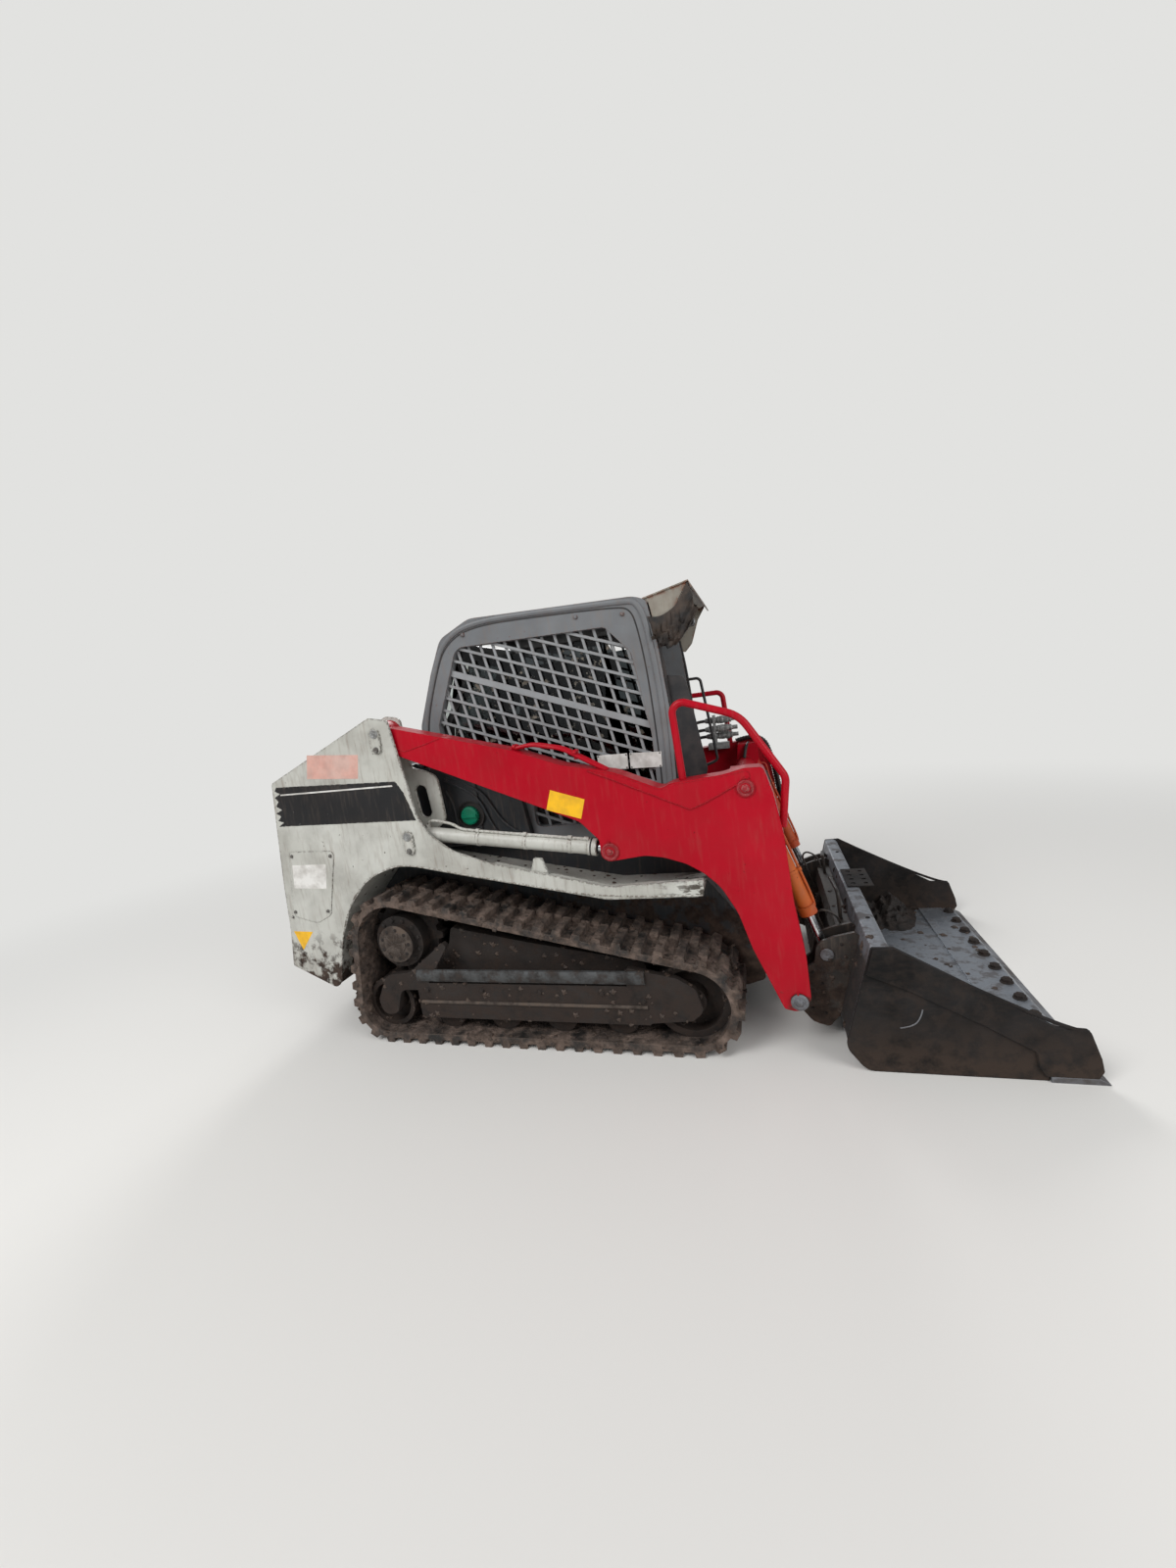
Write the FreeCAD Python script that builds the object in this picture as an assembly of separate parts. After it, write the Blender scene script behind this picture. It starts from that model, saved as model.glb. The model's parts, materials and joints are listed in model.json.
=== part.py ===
"""Compact track loader with a low-profile bucket, built from its separate pieces.

Frame: millimetres, +X forward to the bucket, +Y to the machine's left, +Z up.
The ground is z = 0 and x = 0 lies halfway between the rear bumper and the cutting edge.
A point of a side view is written (x, z), with a third number where its corner is rounded.
"""
import FreeCAD, Part
import math
import os
from FreeCAD import Vector

# Overall places along the machine
rear_x = -1722.0
front_x = 1722.0

# Places across the machine, from the hull outwards; the rooms keep the pieces apart
hull_half_width = 400.0
track_room = 25.0
track_width = 320.0
track_inner_y = hull_half_width + track_room
track_middle_y = track_inner_y + track_width / 2
track_outer_y = track_inner_y + track_width
tower_inset = 45.0
tower_plate = 10.0
tower_outer_y = track_outer_y - tower_inset
arm_room = 10.0
arm_width = 100.0
arm_outer_y = tower_outer_y - tower_plate - arm_room
arm_inner_y = arm_outer_y - arm_width
arm_middle_y = arm_inner_y + arm_width / 2
tower_inner_plate = 12.0
tower_inner_y = arm_inner_y - 8.0
cab_half_width = hull_half_width + 30.0
bucket_half_width = track_outer_y + 30.0

# Undercarriage: the belt runs round three wheels, each given by its centre and its radius
belt_thickness = 30.0
lug_height = 24.0
lug_count = 50
lug_length = 46.0
lug_tip_length = 34.0
drive_x, drive_z, drive_radius = -1062.0, 498.0, 196.0
front_idler_x, front_idler_radius = 318.0, 166.0
rear_idler_x, rear_idler_radius = -1172.0, 125.0
roller_radius = 78.0
roller_count = 4
roller_first_x, roller_last_x = -850.0, 5.0
wheel_gap = 0.3
wheel_room = 8.0
idler_width, idler_dish = 190.0, 60.0
fork_gap = 206.0
axle_radius = 28.0
roller_drum = 62.0
guide_slot = 60.0
rail_plate = 30.0
frame_web_y = track_outer_y - 105.0
sprocket_teeth = 15
sprocket_width = 54.0
tooth_height = 26.0
drive_case_radius = 128.0
drive_cap_radius = 92.0

# Main frame, towers and engine bay
deck_z = 890.0
tower_base_front_x = -880.0
hull_plate = 12.0
deck_sheet = 8.0
arm_pivot_x, arm_pivot_z = -980.0, 1500.0
lift_base_x, lift_base_z = -900.0, 1016.0
hood_top_z = 1330.0
hood_thickness = 26.0
hood_hinge_x = -975.0
hood_length = 560.0
hood_rear_x = hood_hinge_x - hood_length
hood_half_width = tower_inner_y - 27.0
header_front_x = hood_rear_x - 10.0
hood_hinge_y = 380.0
door_thickness = 45.0
door_bottom_z, door_top_z = 590.0, 1290.0
door_half_width = tower_outer_y - 60.0
louvre_count, louvre_pitch, louvre_half_width = 9, 44.0, door_half_width - 180.0
louvre_depth = 14.0
hood_slot_count, hood_slot_pitch = 8, 44.0
slot_share = 0.45
fender_flange = 40.0
retainer, retainer_half_width = 9.0, 26.0
cover_plate = 3.0
filler_x, filler_z, filler_radius = -692.0, 1050.0, 43.0

knuckle_radius = 10.0
hinge_pin_radius = 5.0
pin_clearance = 0.5

# Loader arms and their cylinders
arm_boss = 4.0
doubler = 3.0
pin_radius = 20.0
lift_rod_x, lift_rod_z = 50.0, 887.0
eye_radius = 38.0
eye_width = 50.0
eye_slot_gap = 7.0
lift_barrel_radius = 34.0
lift_rod_radius = 20.0
tilt_pin_x, tilt_pin_z = 620.0, 1110.0
tilt_eye_x, tilt_eye_z = 872.0, 378.0
tilt_cylinder_y = arm_inner_y - 65.0
tilt_barrel_radius = 33.0
tilt_rod_radius = 18.0
bucket_pivot_x, bucket_pivot_z = 749.0, 229.0
cross_tube_x, cross_tube_z, cross_tube_radius = 592.0, 1040.0, 52.0

# From the barrel's open end to the rod's eye, as the cylinders stand with the arms down
lift_rod_shows = 68.0
tilt_rod_shows = 162.0
lift_rod_length = 780.0
tilt_rod_length = 520.0
lift_retract_room = 6.0
tilt_retract_room = 84.0
tilt_eye_radius = 34.0
gland_length, gland_step = 40.0, 4.0
slot_room = 18.0
ear_plate = 14.0
tilt_ear_y = arm_inner_y - 118.0
coupler_z = 1220.0
coupler_body_radius = 19.0
coupler_nose_radius = 12.25
coupler_nose_length = 36.0
guard_radius = 15.0
hose_radius = 9.0

# Cab: its window guards are flat bars in two layers that cross at a slant
cab_wall = 45.0
cab_inner_y = cab_half_width - cab_wall
mesh_bar = 13.0
mesh_rib = 30.0
mesh_thickness = 6.0
mesh_inset = 24.0
window_half_width = cab_half_width - 130.0
handle_y = cab_half_width - 28.0
seat_half_width = cab_inner_y - 150.0
bar_y = cab_inner_y - 130.0
console_room, console_width = 5.0, 105.0
lamp_y, lamp_half_width = cab_half_width - 135.0, 45.0
stalk_half_width = 10.0
visor_sheet = 6.0

# Bucket and hitch
bucket_plate = 9.0
side_plate = 12.0
side_band = 8.0
base_edge = 18.0
edge_thickness = 22.0
edge_depth = 170.0
wear_half_width = 70.0
hitch_outer_y = arm_inner_y - 8.0
hitch_plate = 16.0

os.makedirs("parts", exist_ok=True)


def save(name, shape):
    """Write one piece, or several pieces that share a node, to its own file."""
    shape.exportStep("parts/" + name + ".step")


def corner(before, point, after, radius):
    """Return the start, middle and end of the arc that rounds one corner of an outline."""
    u = (before - point).normalize()
    w = (after - point).normalize()
    half = u.getAngle(w) / 2
    reach = radius / math.tan(half)
    middle_way = (u + w).normalize()
    centre = point + middle_way * (radius / math.sin(half))
    return point + u * reach, centre - middle_way * radius, point + w * reach


def outline(points, y=0.0):
    """Make a closed wire at the given y from (x, z) or (x, z, corner radius) points."""
    spots = [Vector(p[0], y, p[1]) for p in points]
    radii = [p[2] if len(p) > 2 else 0.0 for p in points]
    stops = []
    for i, spot in enumerate(spots):
        if radii[i] > 0:
            stops.append(corner(spots[i - 1], spot, spots[(i + 1) % len(spots)], radii[i]))
        else:
            stops.append((spot, None, spot))
    edges = []
    for i, (start, middle, end) in enumerate(stops):
        if middle is not None:
            edges.append(Part.Arc(start, middle, end).toShape())
        following = stops[(i + 1) % len(stops)][0]
        if end.distanceToPoint(following) > 1e-6:
            edges.append(Part.makeLine(end, following))
    return Part.Wire(edges)


def plate(points, y_low, y_high):
    """Extrude a side-view outline from y_low to y_high."""
    return Part.Face(outline(points, y_low)).extrude(Vector(0, y_high - y_low, 0))


def block(x, y, z):
    """Make a box from its (low, high) pair along each axis."""
    return Part.makeBox(x[1] - x[0], y[1] - y[0], z[1] - z[0], Vector(x[0], y[0], z[0]))


def bar(start, end, radius):
    """Make a round bar between two points."""
    a, b = Vector(*start), Vector(*end)
    return Part.makeCylinder(radius, a.distanceToPoint(b), a, b - a)


def pin(x, z, y_low, y_high, radius):
    """Make a round pin, boss or disc whose axis runs along Y."""
    return Part.makeCylinder(radius, y_high - y_low, Vector(x, y_low, z), Vector(0, 1, 0))


def fuse(shapes):
    """Join touching shapes into one clean solid."""
    first, rest = shapes[0], shapes[1:]
    return first.fuse(rest).removeSplitter() if rest else first


def biggest(shape):
    """Keep the largest solid of a shape that a seat has cut."""
    return max(shape.Solids, key=lambda solid: solid.Volume)


def bent_tube(points, radius):
    """Make a round tube through (x, y, z) points, with the bend's radius fourth where it turns."""
    spots = [Vector(*p[:3]) for p in points]
    edges = []
    last = spots[0]
    for i in range(1, len(spots) - 1):
        start, middle, end = corner(spots[i - 1], spots[i], spots[i + 1], points[i][3])
        edges.append(Part.makeLine(last, start))
        edges.append(Part.Arc(start, middle, end).toShape())
        last = end
    edges.append(Part.makeLine(last, spots[-1]))
    path = Part.Wire(edges)
    ring = Part.Wire(Part.makeCircle(radius, spots[0], spots[1] - spots[0]))
    return path.makePipeShell([ring], True, True)


def barrel_round(at, axis, length, radius):
    """Make a round barrel or pin centred on a point of a hinge axis."""
    return Part.makeCylinder(radius, length, at - axis * (length / 2), axis)


def other_side(shape):
    """Mirror a piece of the left side to the right side."""
    return shape.mirror(Vector(0, 0, 0), Vector(0, 1, 0))


def save_pair(name, shape):
    """Write a left piece and its mirrored right piece as two nodes."""
    save(name + "_left", shape)
    save(name + "_right", other_side(shape))


# Track: belt and lugs in one loop
belt_gap = lug_height + belt_thickness
front_idler_z = belt_gap + front_idler_radius
rear_idler_z = belt_gap + rear_idler_radius
# Wheels in the order that the belt passes them: x, z, radius
belt_wheels = [
    (rear_idler_x, rear_idler_z, rear_idler_radius),
    (drive_x, drive_z, drive_radius),
    (front_idler_x, front_idler_z, front_idler_radius),
]


def belt_stretches(offset):
    """Give the loop's arcs and straight runs, clockwise, as (kind, values) at an offset."""
    count = len(belt_wheels)
    touch = []
    for i in range(count):
        xa, za, ra = belt_wheels[i]
        xb, zb, rb = belt_wheels[(i + 1) % count]
        away = math.atan2(zb - za, xb - xa)
        lean = math.acos((ra - rb) / math.hypot(xb - xa, zb - za))
        touch.append(away + lean)
    runs = []
    for i in range(count):
        x, z, r = belt_wheels[i]
        arrive, leave = touch[i - 1], touch[i]
        while arrive < leave:
            arrive += 2 * math.pi
        runs.append((x, z, r + offset, arrive, leave))
    return runs


def on_circle(x, z, r, angle):
    return Vector(x + r * math.cos(angle), 0, z + r * math.sin(angle))


def belt_wire(offset):
    """Make the closed loop at an offset outside the wheels."""
    runs = belt_stretches(offset)
    edges = []
    for i, (x, z, r, arrive, leave) in enumerate(runs):
        start = on_circle(x, z, r, arrive)
        middle = on_circle(x, z, r, (arrive + leave) / 2)
        end = on_circle(x, z, r, leave)
        edges.append(Part.Arc(start, middle, end).toShape())
        xn, zn, rn, arrive_next, _ = runs[(i + 1) % len(runs)]
        edges.append(Part.makeLine(end, on_circle(xn, zn, rn, arrive_next)))
    return Part.Wire(edges)


def along_belt(distance, offset):
    """Give the point of the loop at a distance along it, and the direction outwards there."""
    runs = belt_stretches(offset)
    while True:
        for i, (x, z, r, arrive, leave) in enumerate(runs):
            length = r * (arrive - leave)
            if distance <= length:
                angle = arrive - distance / r
                return on_circle(x, z, r, angle), Vector(math.cos(angle), 0, math.sin(angle))
            distance -= length
            xn, zn, rn, arrive_next, _ = runs[(i + 1) % len(runs)]
            start, end = on_circle(x, z, r, leave), on_circle(xn, zn, rn, arrive_next)
            length = start.distanceToPoint(end)
            if distance <= length:
                outwards = Vector(math.cos(leave), 0, math.sin(leave))
                return start + (end - start) * (distance / length), outwards
            distance -= length


def lugged_band(y_low, y_high, phase):
    """Make one half of the belt's width, with its row of lugs in the outline."""
    loop_length = belt_wire(belt_thickness).Length
    pitch = loop_length / lug_count
    spots = []
    for i in range(lug_count):
        centre = (i + phase) * pitch
        for step, height in ((-lug_length, 0.0), (-lug_tip_length, lug_height),
                             (lug_tip_length, lug_height), (lug_length, 0.0)):
            spot, outwards = along_belt((centre + step / 2) % loop_length, belt_thickness)
            lift = spot + outwards * height
            spots.append(Vector(lift.x, y_low, lift.z))
    face = Part.Face(Part.makePolygon(spots + [spots[0]]))
    hole = belt_wire(0.0)
    hole.translate(Vector(0, y_low, 0))
    band = face.cut(Part.Face(hole))
    return band.extrude(Vector(0, y_high - y_low, 0))


track = fuse([lugged_band(track_middle_y, track_outer_y, 0.0),
              lugged_band(track_inner_y, track_middle_y, 0.5)])
save_pair("track", track)


# Wheels of the undercarriage
def wheel(x, z, radius, hub_radius):
    """Make an idler dished on its outer face, with a hub and an axle that reaches its fork."""
    face_y = track_middle_y + idler_width / 2
    rim = pin(x, z, face_y - idler_width, face_y, radius)
    hollow = pin(x, z, face_y - idler_dish, face_y, radius * 0.82)
    hub = pin(x, z, face_y - idler_dish, face_y, hub_radius)
    axle = pin(x, z, track_middle_y - fork_gap / 2, track_middle_y + fork_gap / 2, axle_radius)
    return fuse([rim.cut(hollow.cut(hub)), axle])


front_idler = wheel(front_idler_x, front_idler_z, front_idler_radius - wheel_gap, 62.0)
rear_idler = wheel(rear_idler_x, rear_idler_z, rear_idler_radius - wheel_gap, 56.0)
roller_z = belt_gap + roller_radius + wheel_gap
rollers = []
for i in range(roller_count):
    x = roller_first_x + (roller_last_x - roller_first_x) * i / (roller_count - 1)
    shaft = pin(x, roller_z, track_middle_y - fork_gap / 2, track_middle_y + fork_gap / 2,
                axle_radius)
    drums = [pin(x, roller_z, track_middle_y + low, track_middle_y + low + roller_drum,
                 roller_radius) for low in (-guide_slot / 2 - roller_drum, guide_slot / 2)]
    rollers.append(fuse([shaft] + drums))
save_pair("track_wheels", Part.makeCompound([rear_idler, front_idler] + rollers))

tooth_points = []
for i in range(sprocket_teeth):
    for turn, depth in ((-0.32, tooth_height), (-0.16, 0), (0.16, 0), (0.32, tooth_height)):
        angle = (i + turn) * 2 * math.pi / sprocket_teeth
        reach = drive_radius - wheel_gap - depth
        tooth_points.append((drive_x + reach * math.cos(angle), drive_z + reach * math.sin(angle)))
sprocket = plate(tooth_points, track_middle_y - sprocket_width / 2,
                 track_middle_y + sprocket_width / 2)
drive_case = pin(drive_x, drive_z, hull_half_width, track_outer_y - 60, drive_case_radius)
drive_cap = pin(drive_x, drive_z, track_outer_y - 60, track_outer_y - 28, drive_cap_radius)
save_pair("sprocket", fuse([sprocket, drive_case, drive_cap]))

# Track frame: a tapering web between the runs, two rails over the rollers and the idler forks
rail_inner = (track_middle_y - fork_gap / 2 - rail_plate, track_middle_y - fork_gap / 2)
rail_outer = (track_middle_y + fork_gap / 2, track_middle_y + fork_gap / 2 + rail_plate)
rail_low_z = roller_z - 8
rail_high_z = roller_z + 168
cover_z = roller_z + roller_radius + wheel_room
web = plate([(-960, cover_z, 10), (-951, 300, 20), (-822, 467, 60), (-799, 549, 14),
             (-758, 537, 60), (-394, 465, 300), (-18, 400, 300), (130, 369, 20),
             (130, cover_z, 10)], rail_inner[0], frame_web_y)
cover = plate([(-960, cover_z), (-960, rail_high_z), (130, rail_high_z), (130, cover_z)],
              rail_inner[0], rail_outer[1])
rail_shape = [(-985, rail_low_z, 20), (-985, rail_high_z, 20), (150, rail_high_z, 20),
              (150, rail_low_z, 20)]
# The forks end in a hooked nose that covers the hub of the front idler
fork_shape = [(60, rail_low_z, 10), (60, 384, 10), (front_idler_x - 46, front_idler_z + 119, 60),
              (front_idler_x + 29, front_idler_z + 71, 30),
              (front_idler_x + 53, front_idler_z - 27, 40),
              (front_idler_x + 4, front_idler_z - 70, 30)]
# The rear arms slope down from the web to the hub of the rear idler
rear_arm_shape = [(-793, 480, 12), (-808, 504, 12), (-1015, 353, 60), (-1150, 337, 60),
                  (rear_idler_x - 48, rear_idler_z + 30, 50),
                  (rear_idler_x - 30, rear_idler_z - 50, 40),
                  (rear_idler_x + 50, rear_idler_z - 40, 40), (-1080, 262, 40),
                  (-925, 266, 12), (-918, 306, 30)]
sides = [plate(shape, *side) for shape in (rail_shape, fork_shape, rear_arm_shape)
         for side in (rail_inner, rail_outer)]
ties = [block(x, (hull_half_width, rail_inner[0] + rail_plate), z)
        for x, z in (((-820, -560), (300, 430)), ((-120, 60), (240, 350)))]
track_frame = fuse([web, cover] + sides + ties)
for x, z, radius in belt_wheels:
    room = pin(x, z, track_middle_y - fork_gap / 2, track_middle_y + fork_gap / 2,
               radius + wheel_room)
    track_frame = track_frame.cut(room)
track_frame = track_frame.cut(pin(drive_x, drive_z, hull_half_width, track_outer_y,
                                  drive_case_radius + wheel_room))
save_pair("track_frame", track_frame)


# Main frame: an open tub between the tracks, with a sloped front and the fender decks
tub_side = [(-1480, 300, 60), (-1480, deck_z), (326, deck_z), (372, 700, 60), (560, 440, 60),
            (620, 330, 20), (620, 178, 25), (540, 150, 40), (-1330, 150, 120)]
tub_inner = [(-1468, 306, 60), (-1468, deck_z + 10), (314, deck_z + 10), (360, 700, 60),
             (548, 440, 60), (608, 330, 12), (608, 186, 15), (540, 162, 30), (-1330, 162, 110)]
tub_inner_y = hull_half_width - hull_plate
tub = plate(tub_side, -hull_half_width, hull_half_width)
tub = tub.cut(plate(tub_inner, -tub_inner_y, tub_inner_y))
tub = tub.cut(block((-1500, -1460), (-tub_inner_y + 88, tub_inner_y - 88), (560, 900)))
save("main_frame", tub)


def strip(points, thickness, y_low, y_high):
    """Bend a sheet through (x, z) points, with its thickness below the line."""
    spots = [Vector(x, 0, z) for x, z in points]
    lower = []
    for i, spot in enumerate(spots):
        before = spots[max(i - 1, 0)]
        after = spots[min(i + 1, len(spots) - 1)]
        along = (after - before).normalize()
        lower.append(spot + Vector(along.z, 0, -along.x) * thickness)
    ring = [(v.x, v.z) for v in spots + lower[::-1]]
    return plate(ring, y_low, y_high)


# Towers: the outer plate with its long fender, the inner plate, pins and their retainers
arch = [(-1437, 300, 60), (-1383, 510, 200), (-1295, 687, 150), (-1167, 823, 120),
        (-1017, 875, 120), (-910, 874, 100), (-662, 821, 300), (16, 684, 200), (418, 685, 6)]
fender_top = [(426, 754, 6), (24, 740, 200), (-233, 803, 300), (-504, 868, 200),
              (-690, 938, 200), (-790, 1020, 100), (-838, 1110, 100), (-856, 1235, 200),
              (-904, 1556, 20), (-1000, 1578, 25)]
tower_rear = [(-1620, 1329, 15), (-1648, 1082, 100), (-1677, 802, 100), (-1694, 565, 60),
              (rear_x, 377, 12), (-1471, 256, 30)]
plate_inner_y = tower_outer_y - tower_plate
tower_outer = plate(arch + fender_top + tower_rear, plate_inner_y, tower_outer_y)
flange = strip([(-500, 862), (-233, 797), (24, 734), (424, 748)], deck_sheet,
               plate_inner_y - fender_flange, plate_inner_y)
bracket = plate([(-323, 812), (-237, 792), (-262, 874, 8), (-300, 878, 8)],
                plate_inner_y - 18, plate_inner_y - 6)
cover = plate([(-1600, 981, 24), (-1328, 971, 24), (-1420, 648, 30), (-1510, 607, 60),
               (-1650, 645, 30)], tower_outer_y, tower_outer_y + cover_plate)
# Each pin ends in an oval keeper, held by a bolt below the pin
retainers = []
for x, z in ((arm_pivot_x, arm_pivot_z), (lift_base_x, lift_base_z)):
    low_x, high_x = x - retainer_half_width, x + retainer_half_width
    retainers.append(plate([(low_x, z + 24, 24), (high_x, z + 24, 24), (high_x, z - 86, 24),
                            (low_x, z - 86, 24)], tower_outer_y, tower_outer_y + retainer))
    retainers.append(pin(x, z, tower_inner_y, plate_inner_y, pin_radius))
tower_inner = plate([(-1000, 1578, 25), (-925, 1562, 30), (-908, 1322, 30), (-836, 1300, 30),
                     (-778, 1268, 50), (-768, 1110, 200), (-768, 1055, 50), (-846, 1000, 30),
                     (tower_base_front_x, deck_z), (-1545, deck_z), (-1545, 1329, 30)],
                    tower_inner_y - tower_inner_plate, tower_inner_y)
slot = plate([(-910, 1234, 30), (-847, 1234, 30), (-832, 1078, 28), (-892, 1078, 28)],
             tower_inner_y - tower_inner_plate, tower_inner_y)
save_pair("tower_outer", fuse([tower_outer, flange, bracket, cover] + retainers))
save_pair("tower_inner", tower_inner.cut(slot))

# Fender deck: the sheet over the track, with the tower's foot and a cross wall behind the arm
deck_line = [(-1462, 300), (-1396, 516), (-1306, 695), (-1173, 832), (-1017, 884), (-908, 883),
             (-662, 830), (16, 693), (414, 693)]
deck = strip(deck_line, deck_sheet, hull_half_width, plate_inner_y)
tower_base = block((-1600, tower_base_front_x), (hull_half_width, plate_inner_y),
                   (deck_z - 12, deck_z))
rear_wall = block((-1480, -1468), (hull_half_width, plate_inner_y), (280, deck_z - 12))
save_pair("fender_deck", fuse([deck, tower_base, rear_wall]))

# Rear bumper with a towing bar in its notch, and the header above the rear door
bumper = plate([(rear_x + 6, 380, 10), (-1690, 565, 10), (-1560, 580, 10), (-1480, 580),
                (-1480, 264)], -plate_inner_y, plate_inner_y)
bumper = bumper.cut(block((rear_x - 8, -1650), (-60, 60), (395, 500)))
tow_pin = Part.makeCylinder(16, 105, Vector(-1690, 0, 395))
bumper = fuse([bumper, tow_pin])
header = plate([(header_front_x - 75, hood_top_z - 1, 20), (header_front_x - 45, hood_top_z + 5, 10),
                (header_front_x, hood_top_z + 5, 6), (header_front_x, hood_top_z - 32, 6),
                (header_front_x - 80, hood_top_z - 32, 6)], -tower_inner_y + tower_inner_plate,
               tower_inner_y - tower_inner_plate)
save("rear_bumper", bumper)
save("rear_header", header)

# Rear door: a louvred panel hinged on the right, on an axis along its leaning rear face
door_lean = math.atan2(-1620.0 + 1694.0, 1329.0 - 565.0)


def rear_line(z):
    """Give x of the machine's leaning rear face at a height."""
    return -1694.0 + (z - 565.0) * math.tan(door_lean)


def door_slab(z_low, z_high, depth_low, depth_high, half_width):
    """Make a panel along the rear face between two depths behind it."""
    return plate([(rear_line(z_low) + depth_low, z_low), (rear_line(z_high) + depth_low, z_high),
                  (rear_line(z_high) + depth_high, z_high),
                  (rear_line(z_low) + depth_high, z_low)], -half_width, half_width)


door = door_slab(door_bottom_z, door_top_z, 0, door_thickness, door_half_width)
door = door.cut(door_slab(door_bottom_z + 20, door_top_z - 20, louvre_depth, door_thickness,
                          door_half_width - 20))
louvres = []
for i in range(louvre_count):
    z = door_bottom_z + 130 + i * louvre_pitch
    louvres.append(door_slab(z, z + louvre_pitch * slot_share, 0, louvre_depth,
                             louvre_half_width))
door = door.cut(louvres)
door_up = Vector(math.sin(door_lean), 0, math.cos(door_lean))
door_middle_z = (door_bottom_z + door_top_z) / 2
door_axis = Vector(rear_line(door_middle_z) + door_thickness / 2, -door_half_width - 12,
                   door_middle_z)
door_lugs = []
for reach in (-250, 250):
    at = door_axis + door_up * reach
    knuckle = barrel_round(at, door_up, 60, knuckle_radius)
    strap = block((at.x - 4, at.x + 4), (at.y, at.y + 16), (at.z - 26, at.z + 26))
    door = fuse([door, knuckle, strap])
    door = door.cut(barrel_round(at, door_up, 80, hinge_pin_radius + pin_clearance))
    for side in (-1, 1):
        spot = at + door_up * side * 50
        lug = barrel_round(spot, door_up, 36, knuckle_radius)
        leg = block((spot.x - 4, spot.x + 10), (-plate_inner_y, spot.y),
                    (spot.z - 16, spot.z + 16))
        door_lugs += [lug, leg]
    door_lugs.append(barrel_round(at, door_up, 110, hinge_pin_radius))
save("rear_door", door)
hinge_solids = [fuse(door_lugs[:5]), fuse(door_lugs[5:])]
save("door_hinges", Part.makeCompound(hinge_solids))

# Hood: a shallow lid over the engine, hinged behind the cab
hood = plate([(hood_rear_x, hood_top_z - hood_thickness), (hood_rear_x, hood_top_z, 18),
              (hood_hinge_x, hood_top_z, 12), (hood_hinge_x, hood_top_z - hood_thickness)],
             -hood_half_width, hood_half_width)
hood_axis = Vector(hood_hinge_x + 6, 0, hood_top_z - 12)
hood = hood.cut(block((hood_rear_x + 20, hood_hinge_x - 30),
                      (-hood_half_width + 14, hood_half_width - 14),
                      (hood_top_z - hood_thickness, hood_top_z - 8)))
slots = []
for i in range(hood_slot_count):
    x = hood_rear_x + 90 + i * hood_slot_pitch
    slots.append(block((x, x + hood_slot_pitch * slot_share), (-hood_hinge_y, hood_hinge_y),
                       (hood_top_z - 20, hood_top_z)))
hood = hood.cut(slots)
across = Vector(0, 1, 0)
firewall = block((hood_hinge_x + 22, hood_hinge_x + 32),
                 (-tower_inner_y + tower_inner_plate, tower_inner_y - tower_inner_plate),
                 (deck_z, hood_top_z - 34))
hood_knuckles, firewall_lugs = [], []
for y in (-hood_hinge_y, hood_hinge_y):
    at = hood_axis + across * y
    hood_knuckles.append(barrel_round(at, across, 50, knuckle_radius))
    hood = hood.cut(barrel_round(at, across, 120, knuckle_radius + 1))
    hood_knuckles.append(block((at.x - 20, at.x - 6), (y - 25, y + 25), (at.z - 6, at.z + 4)))
    for side in (-1, 1):
        lug = barrel_round(at + across * side * 42, across, 30, knuckle_radius)
        leg = block((at.x, hood_hinge_x + 32), (y + side * 42 - 15, y + side * 42 + 15),
                    (hood_top_z - 60, at.z - 4))
        firewall_lugs.append(fuse([lug, leg]))
    firewall_lugs.append(barrel_round(at, across, 90, hinge_pin_radius))
hood = fuse([hood] + hood_knuckles)
for y in (-hood_hinge_y, hood_hinge_y):
    hood = hood.cut(barrel_round(hood_axis + across * y, across, 60,
                                 hinge_pin_radius + pin_clearance))
save("hood", hood)
save("firewall", fuse([firewall] + firewall_lugs))

# Engine: one plain mass on its mounts in the rear of the tub
save("engine", block((-1275, -985), (-tub_inner_y + 58, tub_inner_y - 58), (162, 1080)))

# Engine side panels: pressed sheets between the tower and the cab, with the filler recess
panel_shape = [(-880, 905, 20), (-880, 1300, 30), (-690, 1330, 40), (-430, 1250, 60),
               (-385, 905, 20)]
panel_low_y, panel_high_y = cab_half_width, cab_half_width + 38
panel = plate(panel_shape, panel_low_y, panel_high_y)
rib = plate([(-640, 940, 20), (-640, 1270, 20), (-480, 1215, 20), (-450, 940, 20)],
            panel_high_y - 10, panel_high_y)
recess_floor_y = panel_high_y - 20
recess = pin(filler_x, filler_z, recess_floor_y, panel_high_y, filler_radius + 22)
panel = panel.cut([rib, recess])
save_pair("side_panel", panel)
cap = fuse([pin(filler_x, filler_z, recess_floor_y, panel_high_y + 14, filler_radius),
            block((filler_x - filler_radius + 4, filler_x + filler_radius - 4),
                  (panel_high_y + 14, panel_high_y + 22), (filler_z - 9, filler_z + 9))])
save("fuel_cap", other_side(cap))


# Loader arms: two boxed beams with a deep knee, joined by a cross tube ahead of the cab
arm_shape = [(-1060, 1562, 62), (-342, 1361, 400), (-116, 1271, 300), (107, 1221, 200),
             (291, 1135, 40), (338, 1155, 60), (534, 1169, 200), (622, 1188, 60),
             (691, 1186, 22), (721, 1078, 60), (746, 917, 300), (761, 635, 500),
             (789, 420, 400), (794, 232, 44), (744, 182, 44), (690, 196, 16),
             (588, 455, 200), (547, 604, 300), (489, 716, 200), (426, 778, 150),
             (359, 820, 100), (272, 850, 150), (196, 862, 150), (62, 846, 24),
             (10, 858, 24), (8, 940, 30), (-67, 1024, 80), (-392, 1169, 300),
             (-930, 1408, 200), (-1060, 1420, 54)]
arm = plate(arm_shape, arm_inner_y, arm_outer_y)
fork_low = arm_middle_y - eye_width / 2 - eye_slot_gap
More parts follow.
